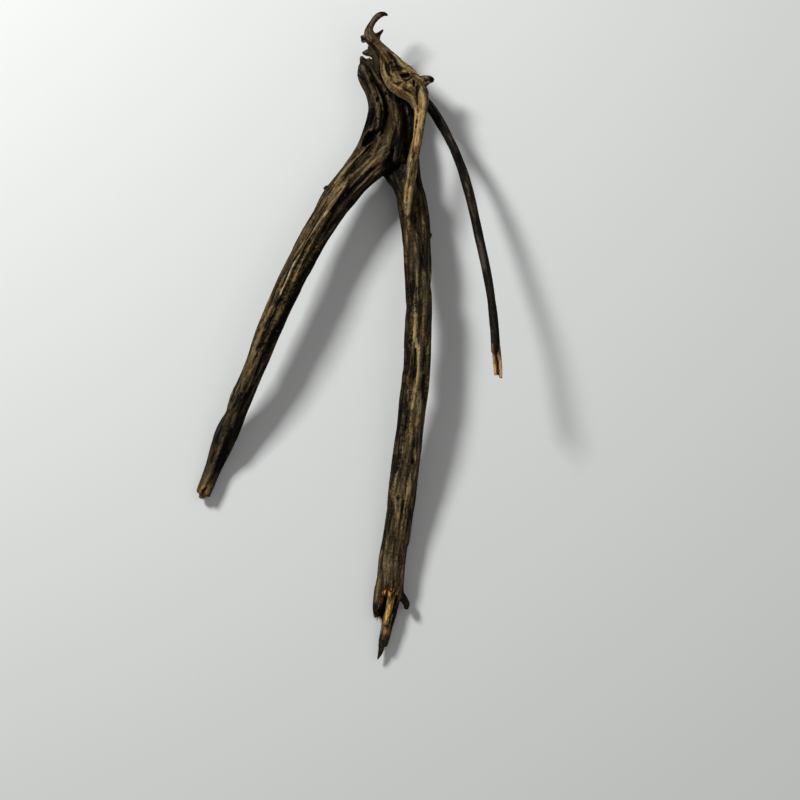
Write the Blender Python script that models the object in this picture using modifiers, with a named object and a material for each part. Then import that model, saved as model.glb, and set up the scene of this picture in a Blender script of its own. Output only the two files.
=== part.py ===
"""A spiderwood root, lying on its back on the surface z = 0.

A fluted crown carries two thick legs, one thin leg and a peeled root that hooks over the top and hangs
down the front. It all grew as one piece, so it is one solid. Metres, +Z up, +Y towards the crown's tip,
origin under the middle of the root. It rests on three flat spots: the heel of the crown and the ends of
the two thick legs.
"""

import math

import bmesh
import bpy
from mathutils import Vector, noise

NAME = "spiderwood_root"

# Driving sizes, in metres
VOXEL = 0.0008
RING_STEP = 0.0016
LEAST_RADIUS = 0.0005
FLOOR_BITE = 0.0005

# Shape of the wood, without a unit
SIDES = 20
SOFTENING_ROUNDS = 3
SOFTENING = 0.4
TRIANGLES = 9000

# Flutes: how many round a limb, how fast they wander along it, and how deep they are against its radius
FLUTES_ROUND = 1.3
FLUTES_ALONG = 20.0
FLUTE_DEPTH = 0.26
CREASE_SHARPNESS = 3.5
SWELL = 0.12
SWELL_SCALE = 0.6
SHARP_ANGLE = math.radians(50.0)

MM = 0.001

# Each limb is a row of stations down its middle, in millimetres:
# across x, along y, height z, half width seen from above, half depth.
CROWN_CORE = [
    (11.0, 127.5, 12.5, 2.4, 2.6),
    (13.5, 120.0, 11.5, 4.6, 4.4),
    (17.5, 110.0, 10.5, 6.8, 5.6),
    (19.6, 99.0, 10.5, 8.2, 6.2),
    (18.8, 88.0, 11.5, 10.2, 6.4),
    (23.0, 77.0, 12.0, 8.0, 6.4),
    (28.0, 65.0, 13.0, 6.4, 6.2),
]
HEEL = [
    (21.0, 117.0, 8.5, 3.6, 4.2),
    (24.0, 108.5, 5.6, 5.2, 5.9),
    (23.5, 99.0, 6.8, 5.2, 5.6),
    (23.0, 90.0, 9.0, 4.6, 5.0),
]
LEFT_STRAND = [
    (5.9, 127.4, 14.0, 2.4, 2.8),
    (7.0, 121.6, 15.0, 3.9, 4.0),
    (10.4, 114.6, 15.5, 3.5, 4.5),
    (12.2, 108.0, 16.0, 3.6, 4.8),
    (12.1, 102.0, 16.0, 4.1, 5.0),
    (10.2, 95.4, 16.0, 4.4, 5.0),
    (7.1, 88.4, 16.5, 4.0, 5.0),
    (2.6, 81.4, 17.0, 4.0, 4.8),
    (-3.8, 73.1, 17.5, 3.9, 4.6),
    (-10.6, 63.5, 18.0, 3.8, 4.5),
    (-17.0, 50.0, 19.0, 3.4, 4.2),
]
MIDDLE_STRAND = [
    (9.8, 128.2, 14.5, 1.8, 2.2),
    (12.6, 123.4, 15.0, 2.4, 3.2),
    (16.2, 117.0, 15.2, 2.7, 3.9),
    (19.4, 110.5, 15.2, 2.9, 4.2),
    (21.0, 103.4, 15.4, 3.2, 4.5),
    (20.8, 96.4, 16.0, 3.6, 4.8),
    (18.3, 89.3, 16.5, 4.2, 5.0),
    (13.6, 82.3, 17.0, 4.8, 5.2),
    (7.5, 75.2, 17.5, 4.6, 5.2),
    (0.9, 67.8, 18.0, 4.3, 5.0),
    (-5.8, 58.6, 18.5, 3.9, 4.8),
    (-12.0, 48.5, 19.0, 3.4, 4.4),
]
RIGHT_STRAND = [
    (23.5, 118.0, 9.0, 3.0, 3.0),
    (25.4, 112.8, 9.3, 4.0, 4.2),
    (26.8, 103.4, 10.0, 4.3, 4.6),
    (27.4, 94.0, 10.8, 4.6, 5.0),
    (27.4, 84.6, 11.8, 5.0, 5.4),
    (27.7, 75.2, 12.8, 5.6, 6.0),
    (28.7, 63.5, 13.5, 6.6, 6.6),
]
LOWER_STRAND = [
    (23.5, 88.0, 15.0, 3.0, 3.4),
    (18.6, 82.2, 14.5, 3.4, 4.0),
    (12.2, 77.0, 14.5, 3.5, 4.2),
    (5.0, 70.6, 15.0, 3.4, 4.2),
    (-1.8, 62.6, 15.5, 3.4, 4.2),
    (-9.4, 54.0, 16.5, 3.2, 4.0),
    (-16.8, 43.4, 17.5, 2.2, 3.2),
]
TONGUE = [
    (19.8, 111.0, 17.0, 1.6, 2.0),
    (21.9, 105.0, 18.2, 1.9, 2.2),
    (23.0, 98.0, 18.9, 2.1, 2.3),
    (23.2, 91.0, 19.2, 2.1, 2.4),
    (22.4, 85.2, 18.8, 1.9, 2.2),
    (20.9, 81.6, 18.0, 1.3, 1.6),
    (20.2, 79.8, 17.4, 0.6, 0.8),
]
BACK_LAYER = [
    (9.8, 136.5, 17.5, 1.8, 2.0),
    (12.2, 132.0, 16.5, 2.3, 2.6),
    (14.4, 127.2, 16.2, 2.3, 2.8),
    (16.6, 121.5, 15.8, 2.4, 3.0),
    (19.6, 115.0, 14.5, 2.8, 3.0),
    (22.2, 108.0, 13.5, 3.0, 3.0),
]
BEAK = [
    (12.6, 132.0, 16.8, 2.0, 2.3),
    (9.6, 133.0, 16.8, 1.7, 2.0),
    (7.4, 132.9, 16.6, 1.1, 1.4),
    (5.7, 132.9, 16.5, 0.4, 0.5),
]
BROKEN_CORNER = [
    (5.2, 131.6, 14.5, 0.7, 0.7),
    (6.2, 128.9, 14.5, 1.9, 1.8),
    (6.8, 124.0, 15.0, 2.9, 3.0),
]
NOTCH_RIM = [
    (8.9, 130.6, 14.8, 0.8, 0.8),
    (9.2, 128.4, 14.8, 1.8, 1.6),
    (11.2, 125.0, 15.0, 1.5, 2.2),
]
LEFT_LEG = [
    (10.0, 84.0, 14.0, 5.0, 5.0),
    (5.4, 77.1, 15.0, 5.9, 6.0),
    (-0.9, 70.6, 16.0, 6.9, 6.2),
    (-8.5, 59.7, 17.5, 6.5, 6.2),
    (-17.9, 44.9, 19.0, 6.4, 6.0),
    (-25.6, 29.7, 20.0, 6.3, 5.9),
    (-32.6, 14.6, 20.0, 5.9, 5.6),
    (-39.3, -0.5, 19.0, 5.4, 5.3),
    (-45.2, -15.5, 17.0, 5.3, 5.1),
    (-51.6, -30.6, 13.2, 5.2, 5.0),
    (-57.9, -45.6, 8.8, 5.5, 5.0),
    (-61.0, -53.1, 6.4, 4.9, 4.8),
    (-63.9, -60.8, 4.6, 4.4, 4.5),
    (-66.9, -68.6, 4.0, 4.3, 4.2),
    (-69.6, -75.2, 4.0, 3.8, 3.4),
]
LEFT_LEG_END = [
    (-67.2, -70.0, 4.4, 2.2, 2.4),
    (-69.6, -75.0, 4.2, 1.9, 2.0),
    (-70.8, -77.0, 4.0, 1.1, 1.3),
]
CENTRE_LEG = [
    (24.0, 85.0, 12.0, 5.4, 6.0),
    (26.5, 75.0, 12.5, 6.4, 6.5),
    (28.7, 63.5, 13.5, 6.9, 6.8),
    (30.3, 52.2, 15.0, 6.8, 6.7),
    (31.2, 40.9, 16.5, 6.7, 6.6),
    (32.0, 25.9, 18.0, 6.5, 6.5),
    (32.2, 10.8, 19.0, 6.3, 6.3),
    (31.75, -4.2, 19.0, 6.7, 6.2),
    (31.1, -19.3, 18.2, 6.8, 6.1),
    (29.3, -34.3, 16.6, 6.6, 6.1),
    (27.8, -49.4, 14.4, 6.7, 6.1),
    (25.8, -64.4, 11.9, 6.7, 6.1),
    (24.0, -79.4, 9.4, 6.6, 6.1),
    (22.1, -94.5, 7.3, 6.6, 6.1),
    (20.4, -105.8, 6.2, 6.9, 6.2),
    (19.7, -114.0, 5.9, 6.9, 6.1),
    (19.6, -119.0, 5.7, 6.2, 5.4),
    (19.6, -122.5, 5.5, 4.6, 4.2),
]
TORN_SHELL = [
    (16.4, -112.0, 6.2, 3.4, 4.8),
    (14.6, -121.0, 5.8, 3.4, 4.4),
    (13.5, -127.0, 5.4, 2.9, 3.8),
    (12.9, -130.6, 5.0, 2.2, 2.8),
    (13.2, -133.0, 4.8, 1.0, 1.4),
]
SPLINTER = [
    (20.6, -111.0, 5.8, 5.6, 5.6),
    (20.3, -119.5, 5.4, 5.2, 5.0),
    (19.3, -125.5, 5.0, 4.3, 4.4),
    (18.7, -131.0, 4.8, 3.5, 3.9),
    (17.4, -137.0, 4.5, 2.9, 3.3),
    (16.1, -142.8, 4.2, 2.6, 2.8),
    (15.2, -146.8, 4.0, 2.2, 2.4),
]
SPLINTER_TIP = [
    (14.8, -143.5, 4.0, 1.4, 1.6),
    (14.5, -148.8, 3.9, 1.5, 1.5),
    (12.7, -153.6, 3.7, 0.4, 0.5),
]
SIDE_STUB = [
    (22.8, -121.0, 6.0, 2.2, 2.2),
    (25.2, -124.4, 6.0, 1.9, 1.9),
    (26.7, -127.0, 6.0, 1.6, 1.7),
    (26.3, -129.3, 6.0, 1.1, 1.2),
]
THIN_LEG = [
    (27.5, 117.0, 10.5, 2.8, 2.8),
    (32.0, 113.4, 11.5, 2.5, 2.6),
    (35.9, 109.8, 12.6, 2.5, 2.4),
    (39.8, 104.8, 14.0, 2.4, 2.3),
    (44.1, 97.3, 16.0, 2.4, 2.4),
    (47.9, 89.8, 18.0, 2.4, 2.4),
    (51.0, 82.3, 20.0, 2.4, 2.4),
    (53.7, 74.7, 22.0, 2.5, 2.4),
    (56.6, 63.5, 24.6, 2.4, 2.3),
    (59.0, 52.2, 27.0, 2.3, 2.3),
    (61.4, 40.9, 29.2, 2.3, 2.2),
    (63.8, 29.6, 31.2, 2.2, 2.2),
    (66.0, 16.5, 33.2, 2.2, 2.1),
    (67.4, 3.3, 34.8, 2.1, 2.1),
    (68.0, -8.0, 36.0, 2.2, 2.1),
]
LEFT_PRONG = [
    (67.1, -5.0, 35.8, 1.2, 1.6),
    (67.6, -12.5, 36.5, 1.1, 1.4),
    (68.0, -18.9, 37.0, 0.9, 1.1),
]
RIGHT_PRONG = [
    (68.9, -5.0, 35.8, 1.2, 1.6),
    (69.7, -12.5, 36.5, 1.1, 1.4),
    (70.3, -20.2, 37.2, 0.9, 1.1),
]
PEELED_ROOT = [
    (17.8, 149.9, 21.6, 0.4, 0.4),
    (16.2, 150.6, 21.6, 0.95, 1.0),
    (14.3, 150.4, 21.6, 1.4, 1.4),
    (12.2, 149.0, 21.6, 1.45, 1.5),
    (10.5, 146.6, 21.6, 1.4, 1.5),
    (9.1, 143.6, 21.6, 2.1, 1.9),
    (9.1, 140.9, 21.6, 3.0, 2.2),
    (10.4, 138.2, 21.5, 3.2, 2.5),
    (13.3, 135.3, 21.2, 2.9, 2.6),
    (17.0, 132.0, 21.0, 3.0, 2.7),
    (20.0, 128.2, 20.5, 4.1, 3.1),
    (21.9, 124.2, 20.5, 6.0, 3.8),
    (24.8, 120.5, 21.0, 6.9, 4.4),
    (28.4, 117.1, 21.5, 6.3, 4.4),
    (31.8, 113.4, 22.5, 5.2, 3.8),
    (33.2, 109.6, 23.5, 4.0, 3.0),
    (33.3, 105.0, 24.3, 3.4, 2.6),
    (32.6, 99.0, 24.8, 2.9, 2.2),
    (31.9, 93.0, 25.0, 2.6, 2.0),
    (30.8, 87.5, 25.0, 2.7, 1.9),
    (29.6, 82.0, 24.8, 2.8, 1.8),
    (29.1, 76.5, 24.5, 2.8, 1.8),
    (28.0, 70.5, 24.2, 2.6, 1.7),
    (27.3, 64.5, 24.0, 2.5, 1.6),
    (27.0, 60.0, 23.8, 2.2, 1.5),
    (27.0, 56.4, 23.6, 1.5, 1.1),
    (27.2, 54.2, 23.5, 0.5, 0.5),
]
BURL_ROOT = [
    (17.0, 116.0, 12.0, 4.0, 4.4),
    (20.0, 120.0, 16.0, 4.2, 4.0),
    (24.0, 121.0, 20.0, 4.6, 4.0),
]
BURL_RIM = [
    (15.4, 127.8, 21.6, 1.2, 1.4),
    (17.0, 122.6, 21.4, 2.2, 2.2),
    (19.8, 117.8, 22.0, 2.8, 2.6),
    (24.2, 114.4, 23.0, 3.0, 2.8),
    (29.0, 111.6, 23.6, 3.0, 2.6),
    (31.8, 106.6, 24.2, 2.4, 2.2),
]
RIGHT_KNOB = [
    (31.8, 117.3, 21.5, 3.6, 3.0),
    (35.1, 119.2, 20.8, 2.6, 2.5),
    (37.5, 119.9, 20.2, 1.8, 1.8),
    (39.5, 119.5, 19.8, 0.9, 0.9),
]
LEFT_KNOB = [
    (9.6, 139.4, 21.6, 1.9, 1.8),
    (6.9, 139.3, 21.4, 1.8, 1.7),
    (5.3, 138.9, 21.3, 1.3, 1.2),
]
KNOB_SPIKE = [
    (7.0, 138.7, 21.4, 1.2, 1.1),
    (5.5, 137.2, 21.0, 0.5, 0.5),
]
THORN = [
    (11.4, 139.4, 21.6, 1.4, 1.2),
    (13.5, 140.9, 21.8, 0.9, 0.9),
    (15.8, 143.1, 22.0, 0.5, 0.5),
]
THORN_LOBE = [
    (12.4, 139.0, 21.6, 1.4, 1.1),
    (14.1, 140.2, 21.4, 0.9, 0.9),
]
LEG_BUMP = [
    (-7.0, 59.0, 15.5, 3.0, 3.4),
    (-4.0, 56.8, 14.8, 2.0, 2.4),
]
LEG_SPUR = [
    (-9.0, 67.4, 17.5, 1.6, 1.6),
    (-12.0, 70.2, 17.5, 0.6, 0.7),
]
SIDE_BUD = [
    (35.6, 47.6, 15.6, 1.6, 1.6),
    (38.6, 46.8, 15.6, 0.8, 0.9),
]

LIMBS = [
    CROWN_CORE,
    HEEL,
    LEFT_STRAND,
    MIDDLE_STRAND,
    RIGHT_STRAND,
    LOWER_STRAND,
    TONGUE,
    BACK_LAYER,
    BEAK,
    BROKEN_CORNER,
    NOTCH_RIM,
    LEFT_LEG,
    LEFT_LEG_END,
    CENTRE_LEG,
    TORN_SHELL,
    SPLINTER,
    SPLINTER_TIP,
    SIDE_STUB,
    THIN_LEG,
    LEFT_PRONG,
    RIGHT_PRONG,
    PEELED_ROOT,
    BURL_ROOT,
    BURL_RIM,
    RIGHT_KNOB,
    LEFT_KNOB,
    KNOB_SPIKE,
    THORN,
    THORN_LOBE,
    LEG_BUMP,
    LEG_SPUR,
    SIDE_BUD,
]

# Hollows in the front of the wood, in millimetres: middle x and y, turn in degrees, half length,
# half width, depth.
HOLLOWS = [
    (9.0, 92.4, 52.0, 4.4, 2.0, 4.5),
    (8.9, 101.8, 66.0, 4.4, 1.3, 2.2),
    (13.3, 110.6, 90.0, 1.3, 0.9, 1.6),
    (20.5, 78.5, 35.0, 4.2, 2.0, 2.6),
    (26.9, 119.4, 150.0, 2.4, 1.4, 2.4),
    (31.0, 117.2, 90.0, 1.6, 0.8, 1.4),
    (19.5, 124.2, 120.0, 1.8, 0.8, 1.2),
    (16.6, -125.0, 80.0, 8.0, 0.9, 3.0),
]


def clear_scene():
    """Empties the file of its starting objects."""
    for obj in list(bpy.data.objects):
        bpy.data.objects.remove(obj)


def blend(before, start, end, after, share):
    """A Catmull-Rom value between start and end."""
    return 0.5 * (
        2.0 * start
        + (end - before) * share
        + (2.0 * before - 5.0 * start + 4.0 * end - after) * share**2
        + (3.0 * start - before - 3.0 * end + after) * share**3
    )


def smooth_stations(stations):
    """The stations read more closely, on a smooth line, in metres."""
    rows = [stations[0], *stations, stations[-1]]
    smooth = []
    for before, start, end, after in zip(rows, rows[1:], rows[2:], rows[3:]):
        gap = (Vector(end[:3]) - Vector(start[:3])).length * MM
        steps = max(1, round(gap / RING_STEP))
        for step in range(steps):
            share = step / steps
            smooth.append([blend(*values, share) * MM for values in zip(before, start, end, after)])
    smooth.append([value * MM for value in stations[-1]])
    return smooth


def flute(angle, along, seed):
    """How far the skin stands out at an angle round the limb and a length along it, as a share of the radius."""
    spot = Vector(
        (math.cos(angle) * FLUTES_ROUND, math.sin(angle) * FLUTES_ROUND, along * FLUTES_ALONG + seed)
    )
    crease = max(0.0, 1.0 - CREASE_SHARPNESS * abs(noise.noise(spot)))
    return 1.0 + SWELL * noise.noise(spot * SWELL_SCALE) - FLUTE_DEPTH * crease**2


def loft(shape, stations, seed):
    """Adds one limb to the bmesh: rings of uneven section, joined side to side and closed at both ends."""
    rows = smooth_stations(stations)
    rings = []
    along = 0.0
    for index, (x, y, z, half_width, half_depth) in enumerate(rows):
        centre = Vector((x, y, z))
        ahead = Vector(rows[min(index + 1, len(rows) - 1)][:3])
        behind = Vector(rows[max(index - 1, 0)][:3])
        heading = (ahead - behind).normalized()
        side = heading.cross(Vector((0.0, 0.0, 1.0))).normalized()
        front = side.cross(heading)
        if index:
            along += (centre - Vector(rows[index - 1][:3])).length
        ring = []
        for corner in range(SIDES):
            angle = 2.0 * math.pi * corner / SIDES
            reach = flute(angle, along, seed)
            across = side * (math.cos(angle) * max(half_width, LEAST_RADIUS) * reach)
            up = front * (math.sin(angle) * max(half_depth, LEAST_RADIUS) * reach)
            ring.append(shape.verts.new(centre + across + up))
        rings.append(ring)
    for ring, following in zip(rings, rings[1:]):
        for corner in range(SIDES):
            beside = (corner + 1) % SIDES
            shape.faces.new((ring[corner], ring[beside], following[beside], following[corner]))
    shape.faces.new(rings[0])
    shape.faces.new(rings[-1])


def limbs_mesh():
    """All the limbs as overlapping closed skins in one mesh."""
    shape = bmesh.new()
    for number, stations in enumerate(LIMBS):
        loft(shape, stations, seed=7.3 * number)
    bmesh.ops.recalc_face_normals(shape, faces=shape.faces)
    mesh = bpy.data.meshes.new(NAME)
    shape.to_mesh(mesh)
    shape.free()
    return mesh


def apply_modifiers(obj):
    """Turns the object's modifiers into its mesh."""
    graph = bpy.context.evaluated_depsgraph_get()
    made = bpy.data.meshes.new_from_object(obj.evaluated_get(graph))
    old = obj.data
    obj.modifiers.clear()
    obj.data = made
    bpy.data.meshes.remove(old)


def grow_together(obj):
    """Fuses the limbs into one skin and softens the forks between them."""
    fuse = obj.modifiers.new("fuse", "REMESH")
    fuse.mode = "VOXEL"
    fuse.voxel_size = VOXEL
    soften = obj.modifiers.new("soften", "SMOOTH")
    soften.factor = SOFTENING
    soften.iterations = SOFTENING_ROUNDS
    apply_modifiers(obj)


def sink_hollows(obj):
    """Presses the knot holes and the torn slot into the skin that faces up."""
    facing_up = [max(0.0, vertex.normal.z) for vertex in obj.data.vertices]
    for vertex, upward in zip(obj.data.vertices, facing_up):
        drop = 0.0
        for x, y, turn, half_length, half_width, depth in HOLLOWS:
            from_middle = Vector((vertex.co.x / MM - x, vertex.co.y / MM - y))
            along = Vector((math.cos(math.radians(turn)), math.sin(math.radians(turn))))
            reach = (from_middle.dot(along) / half_length) ** 2
            reach += (from_middle.cross(along) / half_width) ** 2
            drop = max(drop, depth * math.exp(-reach * reach))
        vertex.co.z -= drop * upward * MM


def thin_out(obj):
    """Keeps only the triangles that the form needs."""
    obj.data.calc_loop_triangles()
    fewer = obj.modifiers.new("fewer_faces", "DECIMATE")
    fewer.ratio = TRIANGLES / len(obj.data.loop_triangles)
    fewer.use_collapse_triangulate = True
    apply_modifiers(obj)


def settle(obj):
    """Cuts the resting spots flat at z = 0 and puts the origin under the middle of the root."""
    shape = bmesh.new()
    shape.from_mesh(obj.data)
    bmesh.ops.translate(shape, verts=shape.verts, vec=(0.0, 0.0, -FLOOR_BITE))
    cut = bmesh.ops.bisect_plane(
        shape,
        geom=[*shape.verts, *shape.edges, *shape.faces],
        plane_co=(0.0, 0.0, 0.0),
        plane_no=(0.0, 0.0, -1.0),
        clear_outer=True,
    )
    rims = [item for item in cut["geom_cut"] if isinstance(item, bmesh.types.BMEdge)]
    bmesh.ops.holes_fill(shape, edges=rims)
    bmesh.ops.triangulate(shape, faces=shape.faces)
    xs = [vertex.co.x for vertex in shape.verts]
    ys = [vertex.co.y for vertex in shape.verts]
    middle = Vector(((min(xs) + max(xs)) / 2.0, (min(ys) + max(ys)) / 2.0, 0.0))
    bmesh.ops.translate(shape, verts=shape.verts, vec=-middle)
    shape.to_mesh(obj.data)
    shape.free()


def dark_wood():
    """Dark, dry root wood."""
    material = bpy.data.materials.new("root_wood")
    material.use_nodes = True
    shader = material.node_tree.nodes["Principled BSDF"]
    shader.inputs["Base Color"].default_value = (0.105, 0.065, 0.032, 1.0)
    shader.inputs["Roughness"].default_value = 0.75
    shader.inputs["Metallic"].default_value = 0.0
    return material


def main():
    """Builds the root."""
    clear_scene()
    collection = bpy.data.collections.new(NAME)
    bpy.context.scene.collection.children.link(collection)
    root = bpy.data.objects.new(NAME, limbs_mesh())
    collection.objects.link(root)
    grow_together(root)
    sink_hollows(root)
    thin_out(root)
    settle(root)
    root.data.materials.append(dark_wood())
    root.data.shade_smooth()
    root.data.set_sharp_from_angle(angle=SHARP_ANGLE)


main()
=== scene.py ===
"""A dry spiderwood root, lying on a pale floor under a soft studio light.

The root is lofted limb by limb, fused into one skin and weathered: furrows and grain follow the limbs,
knots turn the grain aside, and the torn ends show fibres and fresh wood. Metres, +Z up.
"""

import logging
import math
from collections.abc import Callable, Iterable, Iterator, Sequence
from dataclasses import dataclass, field
from enum import Enum
from typing import Any, ClassVar

import bpy
import numpy as np
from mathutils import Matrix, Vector, noise
from mathutils.bvhtree import BVHTree


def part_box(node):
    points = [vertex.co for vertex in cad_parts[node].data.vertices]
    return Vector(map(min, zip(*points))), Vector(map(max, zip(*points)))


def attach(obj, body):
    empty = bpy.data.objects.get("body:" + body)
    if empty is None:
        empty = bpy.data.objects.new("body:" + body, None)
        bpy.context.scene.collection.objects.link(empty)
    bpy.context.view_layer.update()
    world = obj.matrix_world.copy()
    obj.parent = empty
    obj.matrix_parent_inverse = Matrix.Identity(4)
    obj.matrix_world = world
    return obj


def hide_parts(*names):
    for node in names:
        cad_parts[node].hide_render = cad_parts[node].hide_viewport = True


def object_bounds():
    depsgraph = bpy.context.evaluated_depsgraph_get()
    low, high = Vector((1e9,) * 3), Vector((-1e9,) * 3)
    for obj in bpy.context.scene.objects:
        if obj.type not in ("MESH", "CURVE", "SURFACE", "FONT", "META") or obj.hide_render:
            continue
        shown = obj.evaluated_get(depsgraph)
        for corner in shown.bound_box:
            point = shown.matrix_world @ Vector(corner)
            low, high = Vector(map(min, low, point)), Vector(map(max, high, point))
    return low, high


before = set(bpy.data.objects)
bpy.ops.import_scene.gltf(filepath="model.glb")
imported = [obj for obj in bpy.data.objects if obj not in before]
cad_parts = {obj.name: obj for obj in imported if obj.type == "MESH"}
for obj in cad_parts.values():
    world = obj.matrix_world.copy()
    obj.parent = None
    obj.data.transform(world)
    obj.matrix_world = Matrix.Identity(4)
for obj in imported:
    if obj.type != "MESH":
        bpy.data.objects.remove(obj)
CAD_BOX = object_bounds()

LOG = logging.getLogger("spiderwood")
NODE = "spiderwood_root"
BODY = "root"
MM = 0.001
ROWS_AT_ONCE = 20000
GOLDEN_TURN = 2.399963
VALUE_KINDS = {"FLOAT": ("value", 1), "FLOAT_VECTOR": ("vector", 3), "FLOAT_COLOR": ("color", 4)}

Station = tuple[float, float, float, float, float]
Colour = tuple[float, float, float]
Point = tuple[float, float]
Range = tuple[float, float]
Array = np.ndarray


@dataclass(frozen=True)
class WoodTone:
    """The colours of one kind of wood surface, from the bottom of its grooves to its ridges."""

    groove: Colour
    body: Colour
    ridge: Colour


class Tone(Enum):
    """Which wood a limb or a patch shows."""

    CROWN = WoodTone((0.0024, 0.0018, 0.0010), (0.0195, 0.0140, 0.0066), (0.096, 0.071, 0.035))
    LEFT_LEG = WoodTone((0.0030, 0.0021, 0.0010), (0.046, 0.0310, 0.0125), (0.180, 0.127, 0.056))
    CENTRE_LEG = WoodTone((0.0052, 0.0040, 0.0022), (0.052, 0.0380, 0.0186), (0.285, 0.208, 0.104))
    PEELED = WoodTone((0.0064, 0.0032, 0.0012), (0.090, 0.0600, 0.0240), (0.335, 0.250, 0.120))
    BURL = WoodTone((0.0044, 0.0020, 0.0008), (0.046, 0.0260, 0.0080), (0.245, 0.165, 0.066))
    HOOK = WoodTone((0.0044, 0.0030, 0.0017), (0.056, 0.0385, 0.0205), (0.175, 0.128, 0.074))
    SIDE_ROOT = WoodTone((0.0014, 0.0011, 0.0009), (0.0058, 0.0048, 0.0037), (0.066, 0.052, 0.039))
    FRESH = WoodTone((0.0240, 0.0070, 0.0016), (0.280, 0.1250, 0.0210), (0.620, 0.390, 0.110))
    SPLIT = WoodTone((0.0500, 0.0180, 0.0060), (0.320, 0.1850, 0.0780), (0.640, 0.450, 0.250))
    # Near-black wood; some patches also lay it as painted shade in the recesses.
    CHARRED_AND_SHADE = WoodTone((0.0022, 0.0016, 0.0011), (0.0066, 0.0050, 0.0032), (0.021, 0.016, 0.010))


class Layer(Enum):
    """Whether a limb or a mark is on the root's body or on the peeled root that lies over it."""

    BODY = "body"
    OVERLAY = "overlay"


@dataclass(frozen=True)
class Limb:
    """One limb: its wood and its stations down the middle, in millimetres.

    A station is across x, along y, height z, half width seen from above, half depth.
    """

    name: str
    tone: Tone
    stations: tuple[Station, ...]

    @property
    def layer(self) -> Layer:
        """The layer that the limb belongs to."""
        return Layer.OVERLAY if self.tone in (Tone.PEELED, Tone.HOOK) else Layer.BODY


@dataclass(frozen=True)
class Spot:
    """An oval place on the root, seen from above. Sizes in mm, turn in degrees."""

    x: float
    y: float
    turn: float
    half_length: float
    half_width: float

    def reach(self, points: Array) -> Array:
        """How far each point is from the spot's middle, squared: 1 is on its rim."""
        turn = math.radians(self.turn)
        dx = points[:, 0] / MM - self.x
        dy = points[:, 1] / MM - self.y
        along = dx * math.cos(turn) + dy * math.sin(turn)
        across = dy * math.cos(turn) - dx * math.sin(turn)
        return (along / self.half_length) ** 2 + (across / self.half_width) ** 2


@dataclass(frozen=True)
class Hollow(Spot):
    """A hole pressed into the skin that faces up."""

    depth: float


@dataclass(frozen=True)
class Patch(Spot):
    """A place on the skin that shows another wood, or near-black painted shade."""

    tone: Tone
    strength: float = 1.0
    all_round: bool = False


@dataclass(frozen=True)
class Mark:
    """A furrow, a ridge, a stain, painted shade or a painted highlight drawn on the skin that faces up, along
    a smooth line. Sizes in mm.

    Depth sinks the skin, or raises it where it is below zero. Light runs from -1, black, over 0, which
    leaves the wood as it is, to 1, a light ridge, and on to 2, a ridge worn bare.
    """

    layer: Layer
    place: str
    half_width: float
    depth: float
    light: float
    points: tuple[Point, ...]


def drawn(layer: Layer, place: str, *strokes: Sequence[Any]) -> Iterator[Mark]:
    """The marks of one place.

    Args:
        layer: The layer that they are drawn on.
        place: Where they are, or what they show.
        strokes: For each mark its half width, depth and light, then the points of its line.

    Yields:
        The marks, in the order given.
    """
    for half_width, depth, light, *points in strokes:
        yield Mark(layer, place, half_width, depth, light, tuple(points))


@dataclass(frozen=True)
class Fray(Spot):
    """A torn place that fibres stand out of. Its turn is where they point; sizes in mm."""

    name: str
    tone: Tone
    count: int
    length: float
    girth: float


@dataclass(frozen=True)
class Knot:
    """A knot that the grain flows round: its middle and its reach, in mm."""

    x: float
    y: float
    z: float
    reach: float


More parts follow.
